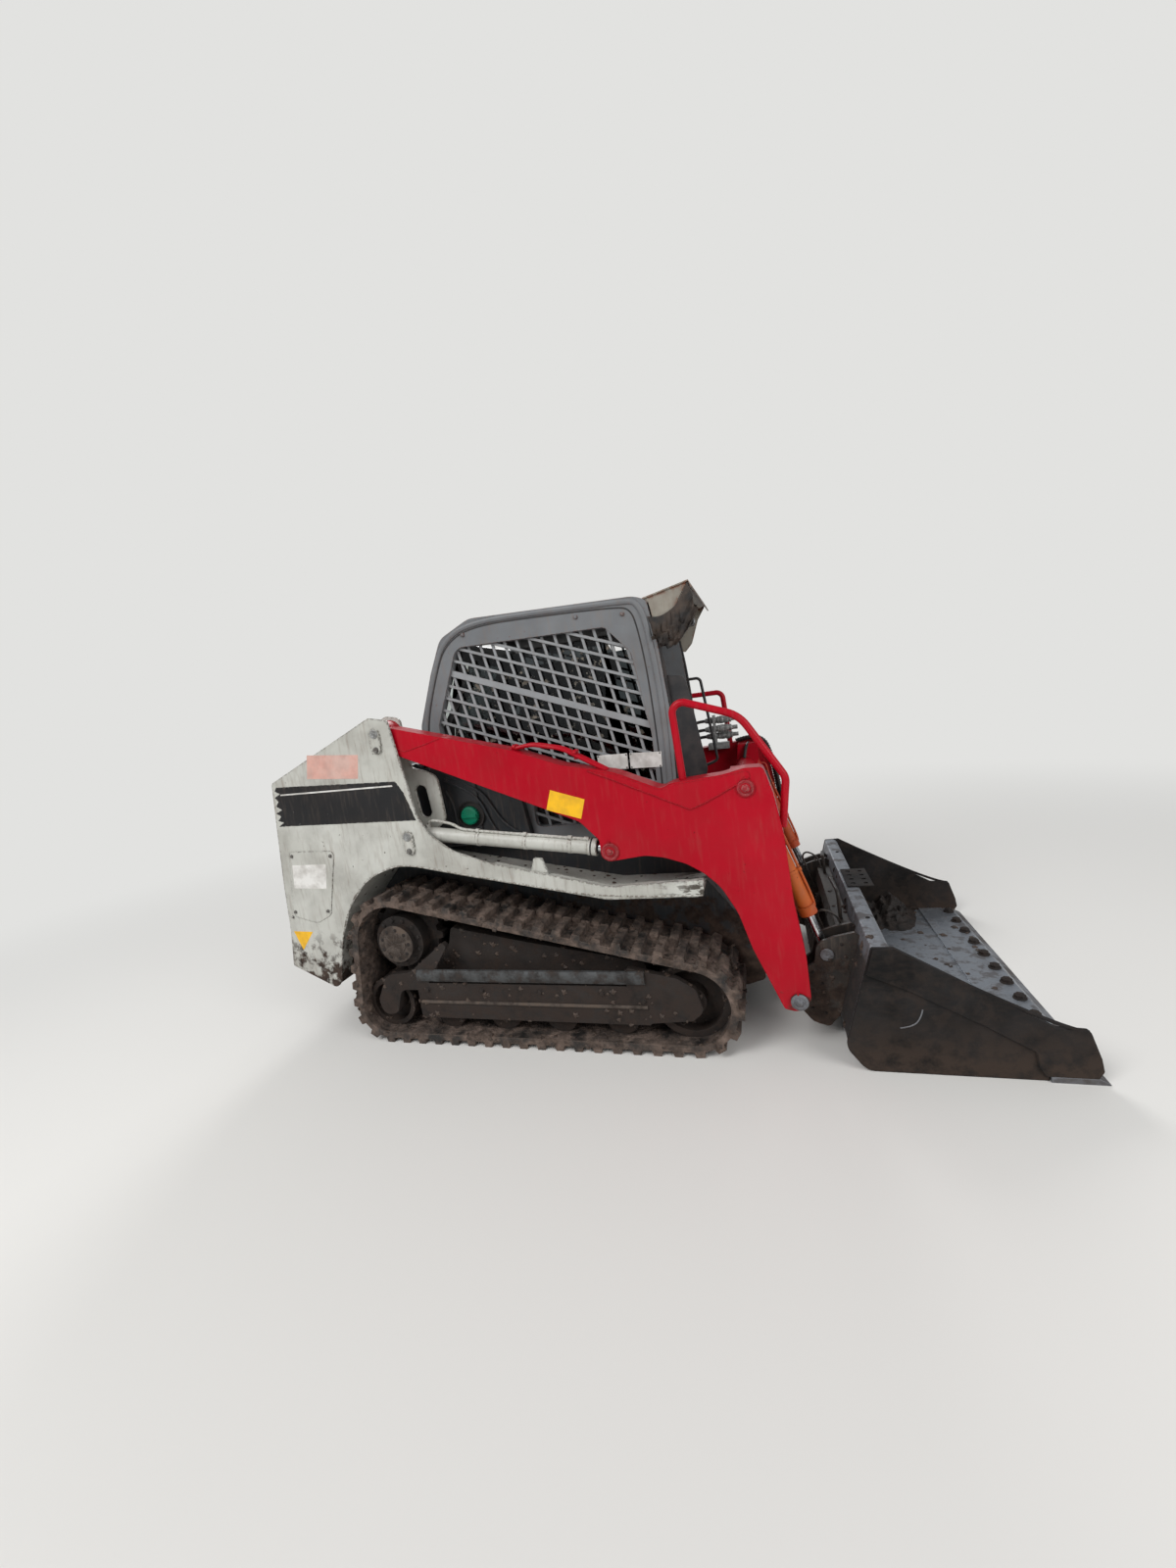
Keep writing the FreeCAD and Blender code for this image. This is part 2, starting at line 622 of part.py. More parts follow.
fork_high = arm_middle_y + eye_width / 2 + eye_slot_gap
rod_slot = fuse([pin(lift_rod_x, lift_rod_z, fork_low, fork_high, eye_radius + slot_room),
                 block((lift_rod_x - 190, lift_rod_x), (fork_low, fork_high),
                       (lift_rod_z - 120, lift_rod_z + eye_radius + slot_room))])
rod_slot = rod_slot.fuse(block((lift_rod_x - 60, lift_rod_x + 20), (fork_low, fork_high),
                               (lift_rod_z - 120, lift_rod_z)))
arm = arm.cut(rod_slot)
boss_spots = [(lift_rod_x, lift_rod_z, 38.0), (tilt_pin_x, tilt_pin_z, 33.0)]
bosses = []
for x, z, radius in boss_spots:
    bosses.append(pin(x, z, arm_outer_y, arm_outer_y + arm_boss, radius))
    bosses.append(pin(x, z, arm_outer_y + arm_boss, arm_outer_y + arm_boss + 5, pin_radius))
pivot_boss = pin(arm_pivot_x, arm_pivot_z, arm_inner_y - arm_boss, arm_outer_y + arm_boss, 58)
# A doubling sheet stiffens the knee, with its lower edge in the shape of a flat V
knee_sheet = plate([(-3, 1236), (91, 1194, 100), (229, 1125, 200), (401, 1041, 30),
                    (453, 1061, 200), (584, 1124, 60), (640, 1140, 22), (640, 1178, 16),
                    (534, 1161, 200), (338, 1147, 60), (291, 1127, 40), (107, 1213, 200)],
                   arm_outer_y, arm_outer_y + doubler)
tilt_ear = plate([(tilt_pin_x - 60, 1168, 8), (tilt_pin_x + 50, 1168, 20),
                  (tilt_pin_x + 50, 1075, 40), (tilt_pin_x + 10, 984, 40),
                  (tilt_pin_x - 84, 984, 40)],
                 tilt_ear_y - ear_plate, tilt_ear_y)
tilt_shaft = pin(tilt_pin_x, tilt_pin_z, tilt_ear_y, arm_inner_y, pin_radius)
arm = fuse([arm, pivot_boss, knee_sheet] + bosses)
arm = arm.cut([pin(arm_pivot_x, arm_pivot_z, arm_inner_y - 10, arm_outer_y + 10,
                   pin_radius + pin_clearance),
               pin(bucket_pivot_x, bucket_pivot_z, arm_inner_y - 10, arm_outer_y + 10,
                   pin_radius + pin_clearance)])
save_pair("arm", arm)
ear_inner_y = tilt_ear_y - ear_plate
tilt_bridge = block((tilt_pin_x - 60, tilt_pin_x + 50), (ear_inner_y, arm_inner_y),
                    (tilt_pin_z + eye_radius + 8, tilt_pin_z + eye_radius + 20))
cross_tube = pin(cross_tube_x, cross_tube_z, -ear_inner_y, ear_inner_y, cross_tube_radius)
cross_parts = [cross_tube]
for side in (tilt_ear, tilt_shaft, tilt_bridge):
    cross_parts += [side, other_side(side)]
save("cross_tube", fuse(cross_parts))


def cylinder_pair(name, start, end, y, sizes, rod_eye_radius, retract_room):
    """Make both barrels and both rods of a pair of cylinders, and write each as one node."""
    barrel_radius, rod_shows, rod_radius, rod_length = sizes
    base, tip = Vector(start[0], y, start[1]), Vector(end[0], y, end[1])
    barrel_length = base.distanceToPoint(tip) - rod_shows
    along = (tip - base).normalize()
    barrel = Part.makeCylinder(barrel_radius, barrel_length - eye_radius * 0.6,
                               base + along * eye_radius * 0.6, along)
    gland = Part.makeCylinder(barrel_radius + gland_step, gland_length,
                              base + along * (barrel_length - gland_length), along)
    base_eye = pin(start[0], start[1], y - eye_width / 2, y + eye_width / 2, eye_radius)
    barrel = fuse([barrel, gland, base_eye])
    bore_start = base + along * (base.distanceToPoint(tip) - rod_length - retract_room)
    bore = Part.makeCylinder(rod_radius + pin_clearance, barrel_length, bore_start, along)
    hole = pin(start[0], start[1], y - eye_width, y + eye_width, pin_radius + pin_clearance)
    barrel = barrel.cut([bore, hole])
    rod = Part.makeCylinder(rod_radius, rod_length, tip - along * rod_length, along)
    eye = pin(end[0], end[1], y - eye_width / 2, y + eye_width / 2, rod_eye_radius)
    rod = fuse([rod, eye]).cut(pin(end[0], end[1], y - eye_width, y + eye_width, pin_radius))
    for kind, piece in (("barrels", barrel), ("rods", rod)):
        save(name + "_" + kind, Part.makeCompound([piece, other_side(piece)]))


cylinder_pair("lift", (lift_base_x, lift_base_z), (lift_rod_x, lift_rod_z), arm_middle_y,
              (lift_barrel_radius, lift_rod_shows, lift_rod_radius, lift_rod_length),
              eye_radius, lift_retract_room)
cylinder_pair("tilt", (tilt_pin_x, tilt_pin_z), (tilt_eye_x, tilt_eye_z), tilt_cylinder_y,
              (tilt_barrel_radius, tilt_rod_shows, tilt_rod_radius, tilt_rod_length),
              tilt_eye_radius, tilt_retract_room)

# Hose guards: the right one runs over the hoses and down the arm's front edge, the left one is
# a shorter hoop over the couplers
guard_y = arm_middle_y - 5
long_guard = bent_tube([(378, -guard_y, 1150), (361, -guard_y, 1484, 42),
                        (620, -guard_y, 1388, 140), (772, -guard_y, 1130, 60),
                        (746, -guard_y, 935)], guard_radius)
short_guard = bent_tube([(255, guard_y, 1160), (248, guard_y, 1474, 40),
                         (492, guard_y, 1474, 40), (512, guard_y, 1160)], guard_radius)
save("hose_guards", Part.makeCompound([biggest(long_guard.cut(other_side(arm))),
                                       biggest(short_guard.cut(arm))]))
lines = []
for y in (arm_middle_y - 14, arm_middle_y + 14):
    line = bent_tube([(-420, y, 1350), (-250, y, 1370, 200), (-115, y, 1338, 200),
                      (70, y, 1226)], hose_radius)
    lines.append(biggest(line.cut(arm)))
save("hose_lines", Part.makeCompound(lines + [other_side(line) for line in lines]))

# Couplers: an upright bracket on the left arm and three couplers that point forwards
bracket_x, body_end_x = (428.0, 440.0), 530.0
coupler_parts = [block((390, 510), (arm_inner_y - 68, arm_inner_y + 20), (1145, 1180)),
                 block(bracket_x, (arm_inner_y - 68, arm_inner_y + 20), (1180, 1345))]
for y, z in ((arm_inner_y - 2, coupler_z), (arm_inner_y - 45, coupler_z + 44),
             (arm_inner_y - 14, coupler_z + 94)):
    coupler_parts.append(bar((bracket_x[0] - 30, y, z), (body_end_x, y, z), coupler_body_radius))
    coupler_parts.append(bar((body_end_x, y, z), (body_end_x + coupler_nose_length, y, z),
                             coupler_nose_radius))
save("couplers", fuse(coupler_parts).cut(arm))


# Cab: two side frames with slanted bar guards, the roof, a rear wall and the visor
cab_shape = [(-880, deck_z), (-904, 1300, 200), (-904, 1506, 80), (-803, 1751, 200),
             (-725, 1905, 90), (-560, 1974, 120), (238, 1935, 150), (280, 1908, 20),
             (308, 1720, 300), (331, 1399, 300), (322, 1120, 200), (318, deck_z)]
guard_shape = [(-800, 1300, 30), (-806, 1500, 60), (-650, 1852, 60), (82, 1829, 30),
               (187, 1705, 60), (237, 1341, 300), (232, 960, 30), (-370, 960, 30),
               (-370, 1180, 40), (-520, 1300, 40)]
side_frame = plate(cab_shape, cab_inner_y, cab_half_width)
side_frame = side_frame.cut(plate(guard_shape, cab_inner_y, cab_half_width))
save_pair("cab_side", side_frame)


def slanted_bar(middle, lean, width, y_low):
    """Make one long flat bar through an (x, z) point, leaning rearwards by some degrees."""
    turn = math.radians(lean)
    along = Vector(-math.sin(turn), 0, math.cos(turn)) * 800
    across_bar = Vector(math.cos(turn), 0, math.sin(turn)) * (width / 2)
    centre = Vector(middle[0], 0, middle[1])
    ends = [centre + along * end + across_bar * side
            for end, side in ((-1, -1), (1, -1), (1, 1), (-1, 1))]
    return plate([(v.x, v.z) for v in ends], y_low, y_low + mesh_thickness)


mesh_low_y = cab_half_width - mesh_inset
guard_area = plate(guard_shape, mesh_low_y, cab_half_width)
# The two layers: lean in degrees, step to the next bar along x and z, first bar, bars, wide bar
mesh_layers = [(10.4, (61.5, 0.0), (-1018, 1500), 23, None, mesh_low_y),
               (69.0, (0.0, -65.3), (-280, 1906), 17, 5, mesh_low_y + mesh_thickness + wheel_gap)]
mesh = []
for lean, step, first, bar_count, wide_bar, y_low in mesh_layers:
    for i in range(bar_count):
        middle = (first[0] + step[0] * i, first[1] + step[1] * i)
        width = mesh_rib if i == wide_bar else mesh_bar
        mesh += slanted_bar(middle, lean, width, y_low).common(guard_area).Solids
save_pair("cab_mesh", Part.makeCompound(mesh))

roof = strip([(-690, 1930), (-560, 1966), (238, 1927), (250, 1922)], 30, -cab_inner_y, cab_inner_y)
save("cab_roof", roof)
rear_panel = plate([(-880, deck_z), (-902, 1300, 200), (-902, 1506, 80), (-803, 1745, 200),
                    (-722, 1898), (-694, 1884), (-775, 1733, 200), (-874, 1500, 80),
                    (-874, 1300, 200), (-852, deck_z)], -cab_inner_y, cab_inner_y)
window = block((-950, -700), (-window_half_width, window_half_width), (1380, 1800))
save("cab_rear", rear_panel.cut(window))
glass = plate([(-892, 1350), (-892, 1504, 80), (-783, 1760, 200), (-760, 1820),
               (-755, 1818), (-778, 1758, 200), (-887, 1503, 80), (-887, 1350)],
              -window_half_width, window_half_width)
save("rear_window", glass.common(window))

visor_top = strip([(262, 1921), (462, 1961), (476, 1930)], visor_sheet,
                  -cab_half_width, cab_half_width)
cheek = plate([(272, 1921), (288, 1850, 60), (302, 1735, 14), (325, 1722, 12), (368, 1766, 30),
               (414, 1890, 60), (458, 1955, 4)],
              cab_half_width - 2 * visor_sheet, cab_half_width - visor_sheet)
cab_sides = [side_frame, other_side(side_frame)]
visor = fuse([visor_top, cheek, other_side(cheek)]).cut(cab_sides)
save("visor", visor)
lamp = fuse([block((330, 400), (lamp_y - lamp_half_width, lamp_y + lamp_half_width),
                   (1850, 1900)),
             block((350, 380), (lamp_y - stalk_half_width, lamp_y + stalk_half_width),
                   (1900, 1940))]).cut(visor)
lamp = biggest(lamp)
save("work_lamps", Part.makeCompound([lamp, other_side(lamp)]))

# Cab floor, seat, consoles with their levers, restraint bar and entry handles
cab_floor = plate([(-850, 830), (-180, 830), (-150, 560), (420, 560), (410, 575),
                   (-138, 575), (-168, 845), (-850, 845)], -tub_inner_y, tub_inner_y)
save("cab_floor", cab_floor)
frame_half_width = seat_half_width - 45
save("seat_frame", fuse([block((-640, -200), (-frame_half_width, frame_half_width), (845, 905)),
                         block((-690, -640), (-frame_half_width + 20, frame_half_width - 20),
                               (845, 1180))]))
save("seat_cushion", plate([(-638, 905.3, 10), (-638, 985, 30), (-180, 1000, 40),
                            (-170, 905.3, 20)], -seat_half_width, seat_half_width))
save("seat_back", plate([(-639.7, 990, 12), (-639.7, 1180.3), (-690, 1180.3), (-760, 1500, 30),
                         (-690, 1520, 32), (-575, 990, 30)],
                        -seat_half_width + 10, seat_half_width - 10))
console_high_y = cab_inner_y - console_room
console_middle_y = console_high_y - console_width / 2
console = plate([(-560, 845), (-560, 1060, 40), (-120, 1080, 50), (-150, 845, 30)],
                console_high_y - console_width, console_high_y)
stalk = bar((-190, console_middle_y, 1070), (-170, console_middle_y, 1190), 9)
grip = bar((-172, console_middle_y, 1180), (-160, console_middle_y, 1255), 24)
console = fuse([console, stalk, grip])
save("consoles", Part.makeCompound([console, other_side(console)]))
restraint = bent_tube([(-600, bar_y, 1330), (-225, bar_y, 1150, 70), (-225, -bar_y, 1150, 70),
                       (-600, -bar_y, 1330)], 16)
pivots = [bar((-600, side * bar_y, 1330), (-600, side * cab_inner_y, 1330), 16)
          for side in (-1, 1)]
save("restraint_bar", fuse([restraint] + pivots))

# Beside the cab's open front: a flat guard plate on the right post, a thin hoop on the left one
hand_plate = plate([(300, 1592), (400, 1572, 24), (416, 1500, 200), (443, 1290, 200),
                    (461, 1158, 60), (440, 1104, 14), (300, 1100)],
                   -handle_y - 4, -handle_y + 4)
hoop = bent_tube([(300, handle_y, 1570), (392, handle_y, 1570, 26), (446, handle_y, 1096, 26),
                  (300, handle_y, 1045)], 8)
handles = [biggest(piece.cut(cab_sides)) for piece in (hand_plate, hoop)]
save("entry_handles", Part.makeCompound(handles))

# Hitch: ears round the rod eyes and the arm, cross members, locking levers
back_low, back_high = (899.0, 95.0), (1008.0, 489.0)


def on_back(z, depth=0.0):
    """Give the (x, z) point of the bucket's leaning back face at a height, set rearwards."""
    share = (z - back_low[1]) / (back_high[1] - back_low[1])
    return (back_low[0] + (back_high[0] - back_low[0]) * share - depth, z)


ear_shape = [(702, 215, 42), (725, 275, 60), (822, 340, 30), (836, 425, 44), (905, 452, 60),
             on_back(470, 20), on_back(455), on_back(110), (862, 60, 20), (800, 80, 60),
             (720, 184, 42)]
inner_ear_y = 2 * tilt_cylinder_y - (hitch_outer_y - hitch_plate)
ears = [plate(ear_shape, hitch_outer_y - hitch_plate, hitch_outer_y),
        plate(ear_shape, inner_ear_y - hitch_plate, inner_ear_y)]
pivot_pin = pin(bucket_pivot_x, bucket_pivot_z, inner_ear_y - hitch_plate - 12,
                arm_outer_y + arm_boss, pin_radius)
pivot_cap = pin(bucket_pivot_x, bucket_pivot_z, arm_outer_y + 0.3, arm_outer_y + 8, 34)
rod_caps = [pin(tilt_eye_x, tilt_eye_z, hitch_outer_y, hitch_outer_y + 6, 26),
            pin(tilt_eye_x, tilt_eye_z, inner_ear_y - hitch_plate - 6,
                inner_ear_y - hitch_plate, 26)]
half_hitch = fuse(ears + [pivot_pin, pivot_cap] + rod_caps)
cross_reach = inner_ear_y - hitch_plate
upper_beam = plate([on_back(430), on_back(360), on_back(366, 60), on_back(424, 60)],
                   -cross_reach, cross_reach)
lower_beam = plate([on_back(180), on_back(112), on_back(118, 70), on_back(172, 55)],
                   -cross_reach, cross_reach)
uprights = [plate([on_back(362), on_back(178), on_back(178, 40), on_back(362, 40)],
                  y - 60, y + 60) for y in (-300, 300)]
hitch = fuse([half_hitch, other_side(half_hitch), upper_beam, lower_beam] + uprights)
save("hitch", hitch)
latches = []
for side in (-1, 1):
    foot = Vector(on_back(424, 30)[0], side * 320, 424)
    latch = bent_tube([(foot.x, foot.y, foot.z - 30), (foot.x - 6, foot.y, 550, 30),
                       (foot.x - 20, foot.y - side * 150, 566)], 8)
    latches.append(biggest(latch.cut(hitch)))
save("hitch_levers", Part.makeCompound(latches))

# Bucket: a bent shell between two side plates, with a boxed top edge and a bolted cutting edge
floor_z = edge_thickness
shell_inner = bucket_half_width - side_plate - side_band
edge_rear_x = front_x - edge_depth
shell = plate([on_back(478), (back_low[0], back_low[1], 90), (962, floor_z, 60),
               (front_x - 32, floor_z), (front_x - 52, floor_z + base_edge),
               (1500, floor_z + base_edge), (1500, floor_z + bucket_plate),
               (985, floor_z + bucket_plate, 90),
               (back_low[0] + bucket_plate + 4, back_low[1] + 12, 80),
               on_back(478, -bucket_plate * 1.04)], -shell_inner, shell_inner)
top_edge = plate([on_back(478), (1008, 494, 8), (1072, 494, 26), (1082, 452, 22),
                  (1046, 440, 14), on_back(444, -bucket_plate * 1.04),
                  on_back(478, -bucket_plate * 1.04)], -shell_inner, shell_inner)
save("bucket_shell", fuse([shell, top_edge]))
side_rear = [(968, 2, 60), (back_low[0], back_low[1], 60)]
side_front = [(1086, 494, 10), (1574, 203, 30), (1667, 197, 12), (1697, 98, 30), (1704, 50, 8),
              (front_x - 34, edge_thickness)]
side_foot = [(edge_rear_x - 3, edge_thickness), (edge_rear_x - 3, 2)]
cheek_plate = plate([on_back(484), (1010, 494, 6)] + side_front + side_foot + side_rear,
                    shell_inner, shell_inner + side_plate)
# A stiffening band follows the upper edge and widens to a heel block over the cutting edge
band_foot = [(1538, edge_thickness), (1519, 56, 10), (1512, 112, 20), (1357, 206, 200),
             (1122, 334, 200), on_back(392, -6)]
band = plate([(1014, 490, 4)] + side_front + band_foot, shell_inner + side_plate,
             bucket_half_width)
save_pair("bucket_side", fuse([cheek_plate, band]))
cutting_edge = plate([(edge_rear_x, 0), (edge_rear_x, edge_thickness),
                      (front_x - 32, edge_thickness), (front_x, 4), (front_x, 0)],
                     -bucket_half_width, bucket_half_width)
save("cutting_edge", cutting_edge)
wear = [block((985, 1240), (y - wear_half_width, y + wear_half_width), (0, floor_z))
        for y in (-480, 0, 480)]
save("wear_plates", Part.makeCompound(wear))
step = block((1020, 1135), (-110, 150), (494, 500))
holes = [Part.makeCylinder(11, 6, Vector(1050 + 55 * i, -70 + 60 * j, 494))
         for i in range(2) for j in range(4)]
save("bucket_step", step.cut(holes))
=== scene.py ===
# %% [markdown]
# # A compact track loader, dressed
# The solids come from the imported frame. This lesson gives them their finishes and adds the
# small things: bolts, weld seams, hoses, clamps, a seat and the worn edges.

# %% Load the frame
import bpy
import bmesh
import json
import math
from mathutils import Matrix, Vector
from mathutils.noise import turbulence

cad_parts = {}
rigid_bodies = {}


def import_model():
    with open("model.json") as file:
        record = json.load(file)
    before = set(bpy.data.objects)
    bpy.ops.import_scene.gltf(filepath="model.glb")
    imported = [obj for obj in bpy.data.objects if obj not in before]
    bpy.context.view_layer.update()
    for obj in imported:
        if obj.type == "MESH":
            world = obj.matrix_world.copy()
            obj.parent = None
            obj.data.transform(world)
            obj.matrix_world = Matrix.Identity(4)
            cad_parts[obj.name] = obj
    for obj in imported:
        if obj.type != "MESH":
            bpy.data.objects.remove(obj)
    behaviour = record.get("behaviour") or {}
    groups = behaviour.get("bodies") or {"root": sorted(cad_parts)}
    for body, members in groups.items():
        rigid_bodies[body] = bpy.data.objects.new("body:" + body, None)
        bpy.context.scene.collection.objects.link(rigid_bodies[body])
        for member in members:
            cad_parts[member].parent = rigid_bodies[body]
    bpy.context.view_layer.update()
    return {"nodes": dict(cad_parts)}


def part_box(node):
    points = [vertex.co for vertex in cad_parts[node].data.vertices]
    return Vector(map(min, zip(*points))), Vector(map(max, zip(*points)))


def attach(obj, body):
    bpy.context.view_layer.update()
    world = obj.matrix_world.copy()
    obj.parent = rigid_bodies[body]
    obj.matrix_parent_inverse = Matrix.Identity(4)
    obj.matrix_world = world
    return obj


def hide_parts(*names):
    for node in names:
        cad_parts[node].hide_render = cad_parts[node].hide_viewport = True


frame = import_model()
nodes = frame["nodes"]
print("pieces in the frame:", len(nodes))

# %% [markdown]
# ## Camera
# The photograph was taken from head height a few paces off the right side, with the phone
# tilted. Three angles and a focal length in pixels place the same view here.

# %% Camera
PHOTO_HEIGHT = 1600
FOCAL_PIXELS = 586.0
EYE = Vector((0.701, -2.938, 1.506))
YAW, PITCH, ROLL = math.radians(-17.42), math.radians(-7.81), math.radians(-7.71)
SENSOR = 36.0

forward = Vector((math.sin(YAW) * math.cos(PITCH), math.cos(YAW) * math.cos(PITCH), math.sin(PITCH)))
level_right = Vector((math.cos(YAW), -math.sin(YAW), 0))
level_up = level_right.cross(forward)
right = level_right * math.cos(ROLL) + level_up * math.sin(ROLL)
up = level_up * math.cos(ROLL) - level_right * math.sin(ROLL)
lens = bpy.data.cameras.new("photo_view")
lens.sensor_fit = "VERTICAL"
lens.sensor_height = SENSOR
lens.sensor_width = SENSOR
lens.lens = SENSOR * FOCAL_PIXELS / PHOTO_HEIGHT
camera = bpy.data.objects.new("photo_view", lens)
bpy.context.scene.collection.objects.link(camera)
camera.matrix_world = Matrix([(right[i], up[i], -forward[i], EYE[i]) for i in range(3)] + [(0, 0, 0, 1)])
bpy.context.scene.camera = camera
print("lens in mm:", round(lens.lens, 2))

# %% [markdown]
# ## Colours and nodes
# Colours are written the way a paint chart gives them, as sRGB hex, and turned to the linear
# values that a shader needs. One function adds any node with its settings and its links.

# %% Helpers for materials
def linear(colour):
    """Turn an sRGB hex colour into linear RGBA."""
    values = [int(colour[i:i + 2], 16) / 255 for i in (1, 3, 5)]
    return [v / 12.92 if v <= 0.04045 else ((v + 0.055) / 1.055) ** 2.4 for v in values] + [1.0]


def plug(tree, node, inputs):
    """Give a node's inputs values, hex colours or other nodes' sockets."""
    for name, value in inputs.items():
        if isinstance(value, bpy.types.NodeSocket):
            tree.links.new(value, node.inputs[name])
        elif isinstance(value, str) and value.startswith("#"):
            node.inputs[name].default_value = linear(value)
        else:
            node.inputs[name].default_value = value


def add(tree, kind, inputs=None, **settings):
    """Add a node, set its properties and plug its inputs."""
    made = tree.nodes.new(kind)
    for name, value in settings.items():
        setattr(made, name, value)
    plug(tree, made, inputs or {})
    return made


def new_material(name):
    """Start a material with a Principled shader and the object's own coordinates."""
    material = bpy.data.materials.new(name)
    material.use_nodes = True
    tree = material.node_tree
    return material, tree, tree.nodes["Principled BSDF"], add(tree, "ShaderNodeTexCoord").outputs["Object"]


def grade(tree, value, low, high, start=0.0, end=1.0, **settings):
    """Spread what lies between two values over 0 to 1, or over another range."""
    return add(tree, "ShaderNodeMapRange", {"Value": value, "From Min": low, "From Max": high,
                                            "To Min": start, "To Max": end}, **settings).outputs["Result"]


def speckle(tree, place, millimetres, low, high, detail=6.0, stretch=(1, 1, 1)):
    """Give a mask, 0 to 1, of noise patches of about the size given."""
    drawn = add(tree, "ShaderNodeMapping", {"Vector": place, "Scale": stretch}).outputs["Vector"]
    noise = add(tree, "ShaderNodeTexNoise", {"Vector": drawn, "Scale": 1000.0 / millimetres,
                                             "Detail": detail, "Roughness": 0.6})
    return grade(tree, noise.outputs["Fac"], low, high)


def blend(tree, share, first, second):
    """Mix two colours, or two links to colours, by a share."""
    return add(tree, "ShaderNodeMix", {0: share, 6: first, 7: second}, data_type="RGBA").outputs[2]


def calculate(tree, operation, first, second, clamp=True):
    """Do one sum on two values."""
    return add(tree, "ShaderNodeMath", {0: first, 1: second}, operation=operation,
               use_clamp=clamp).outputs["Value"]


def soft_normal(tree, radius):
    """Give the surface's direction with its edges rounded off."""
    return add(tree, "ShaderNodeBevel", {"Radius": radius}, samples=4).outputs["Normal"]


def edge_mask(tree, radius):
    """Give 1 along a piece's sharp edges, where paint wears first, and 0 on its faces."""
    plain = add(tree, "ShaderNodeNewGeometry").outputs["Normal"]
    agree = add(tree, "ShaderNodeVectorMath", {0: soft_normal(tree, radius), 1: plain},
                operation="DOT_PRODUCT")
    return grade(tree, agree.outputs["Value"], 0.97, 0.80)


def height_mask(tree, place, low, high):
    """Give 1 below a height and 0 above another, in metres."""
    return grade(tree, add(tree, "ShaderNodeSeparateXYZ", {"Vector": place}).outputs["Z"], high, low)


def surface(tree, shader, base, worn, roughness, height, strength, depth, radius=0.0):
    """Plug in a colour, a roughness spread over a share, and a bump over softened edges."""
    bump = {"Height": height, "Strength": strength, "Distance": depth}
    if radius:
        bump["Normal"] = soft_normal(tree, radius)
    plug(tree, shader, {"Base Color": base, "Roughness": grade(tree, worn, 0.0, 1.0, *roughness),
                        "Normal": add(tree, "ShaderNodeBump", bump).outputs["Normal"]})

# %% [markdown]
# ## Enamel on steel
# Machine enamel is sprayed on welded plate. It has a faint orange peel, fades in broad patches,
# runs with dirt, and chips at its edges down to primer or rust. Mud sticks to its lower parts.

# %% Enamel
MUD, MUD_DARK, MUD_DRY = "#4d3e35", "#2b211c", "#7d6c5f"


def enamel(name, colour, faded, chip, roughness=0.38, chips=0.5, dirt=0.35, mud=(0.0, 0.5),
           streaks=0.3, chip_size=9.0, scratch=0.0, specular=0.35, wear=0.006, scuffed=None):
    """Make sprayed machine enamel, with chipped edges, dirt that has run down it, and mud."""
    material, tree, shader, place = new_material(name)
    shader.inputs["Specular IOR Level"].default_value = specular
    base = blend(tree, speckle(tree, place, 420, 0.35, 0.68, detail=3), colour, faded)
    # dirt that the rain drew into upright runs about 15 mm wide
    runs = speckle(tree, place, 60, 0.52, 0.74, stretch=(4.0, 4.0, 0.5))
    base = blend(tree, calculate(tree, "MULTIPLY", runs, streaks), base, MUD_DRY)
    dust = calculate(tree, "MULTIPLY", speckle(tree, place, 150, 0.42, 0.8), dirt)
    base = blend(tree, dust, base, MUD)
    if scratch:
        # long thin scratches, a few millimetres wide and a hand long
        lines = speckle(tree, place, 26, 0.665, 0.68, detail=2, stretch=(0.35, 1.0, 1.6))
        base = blend(tree, calculate(tree, "MULTIPLY", lines, scratch), base, faded)
    # paint chips: more at the edges, a few on the faces
    broken = speckle(tree, place, chip_size, 0.46, 0.54, detail=4)
    at_edges = calculate(tree, "MULTIPLY", edge_mask(tree, wear), broken)
    on_faces = speckle(tree, place, chip_size * 2.2, 0.70, 0.715, detail=5)
    if scuffed:
        # boots and lifted soil have scraped this end down to primer, between two x places
        near = grade(tree, add(tree, "ShaderNodeSeparateXYZ", {"Vector": place}).outputs["X"], *scuffed)
        scrapes = speckle(tree, place, 30, 0.50, 0.53, stretch=(0.4, 1.0, 1.0))
        on_faces = calculate(tree, "MAXIMUM", on_faces, calculate(tree, "MULTIPLY", near, scrapes))
    chipped = calculate(tree, "MULTIPLY", calculate(tree, "MAXIMUM", at_edges, on_faces), chips)
    base = blend(tree, chipped, base, chip)
    # mud, thick at the bottom and torn into spots higher up
    spots = speckle(tree, place, 55, 0.30, 0.62, detail=8)
    splashes = calculate(tree, "MULTIPLY", spots, 0.75)
    caked = calculate(tree, "ADD", height_mask(tree, place, *mud), splashes, clamp=False)
    muddy = grade(tree, caked, 0.95, 1.25)
    base = blend(tree, muddy, base, blend(tree, speckle(tree, place, 35, 0.35, 0.7), MUD_DARK, MUD))
    # orange peel about 2 mm across, chips sunk and mud raised
    peel = add(tree, "ShaderNodeTexNoise", {"Vector": place, "Scale": 420.0, "Detail": 2.0})
    height = calculate(tree, "SUBTRACT", calculate(tree, "MULTIPLY", peel.outputs["Fac"], 0.03),
                       calculate(tree, "MULTIPLY", chipped, 0.25), clamp=False)
    height = calculate(tree, "ADD", height, calculate(tree, "MULTIPLY", muddy, spots), clamp=False)
    surface(tree, shader, base, calculate(tree, "MAXIMUM", muddy, chipped), (roughness, 0.88),
            height, 0.55, 0.004, 0.003)
    return material


# a machine white, dulled by sun, with brown chips at every edge
off_white = enamel("chipped_off_white_enamel", "#c0c0b9", "#aeada5", "#4c3a2c", chips=0.9,
                   dirt=0.34, mud=(0.22, 0.66), streaks=0.45, wear=0.016, chip_size=12)
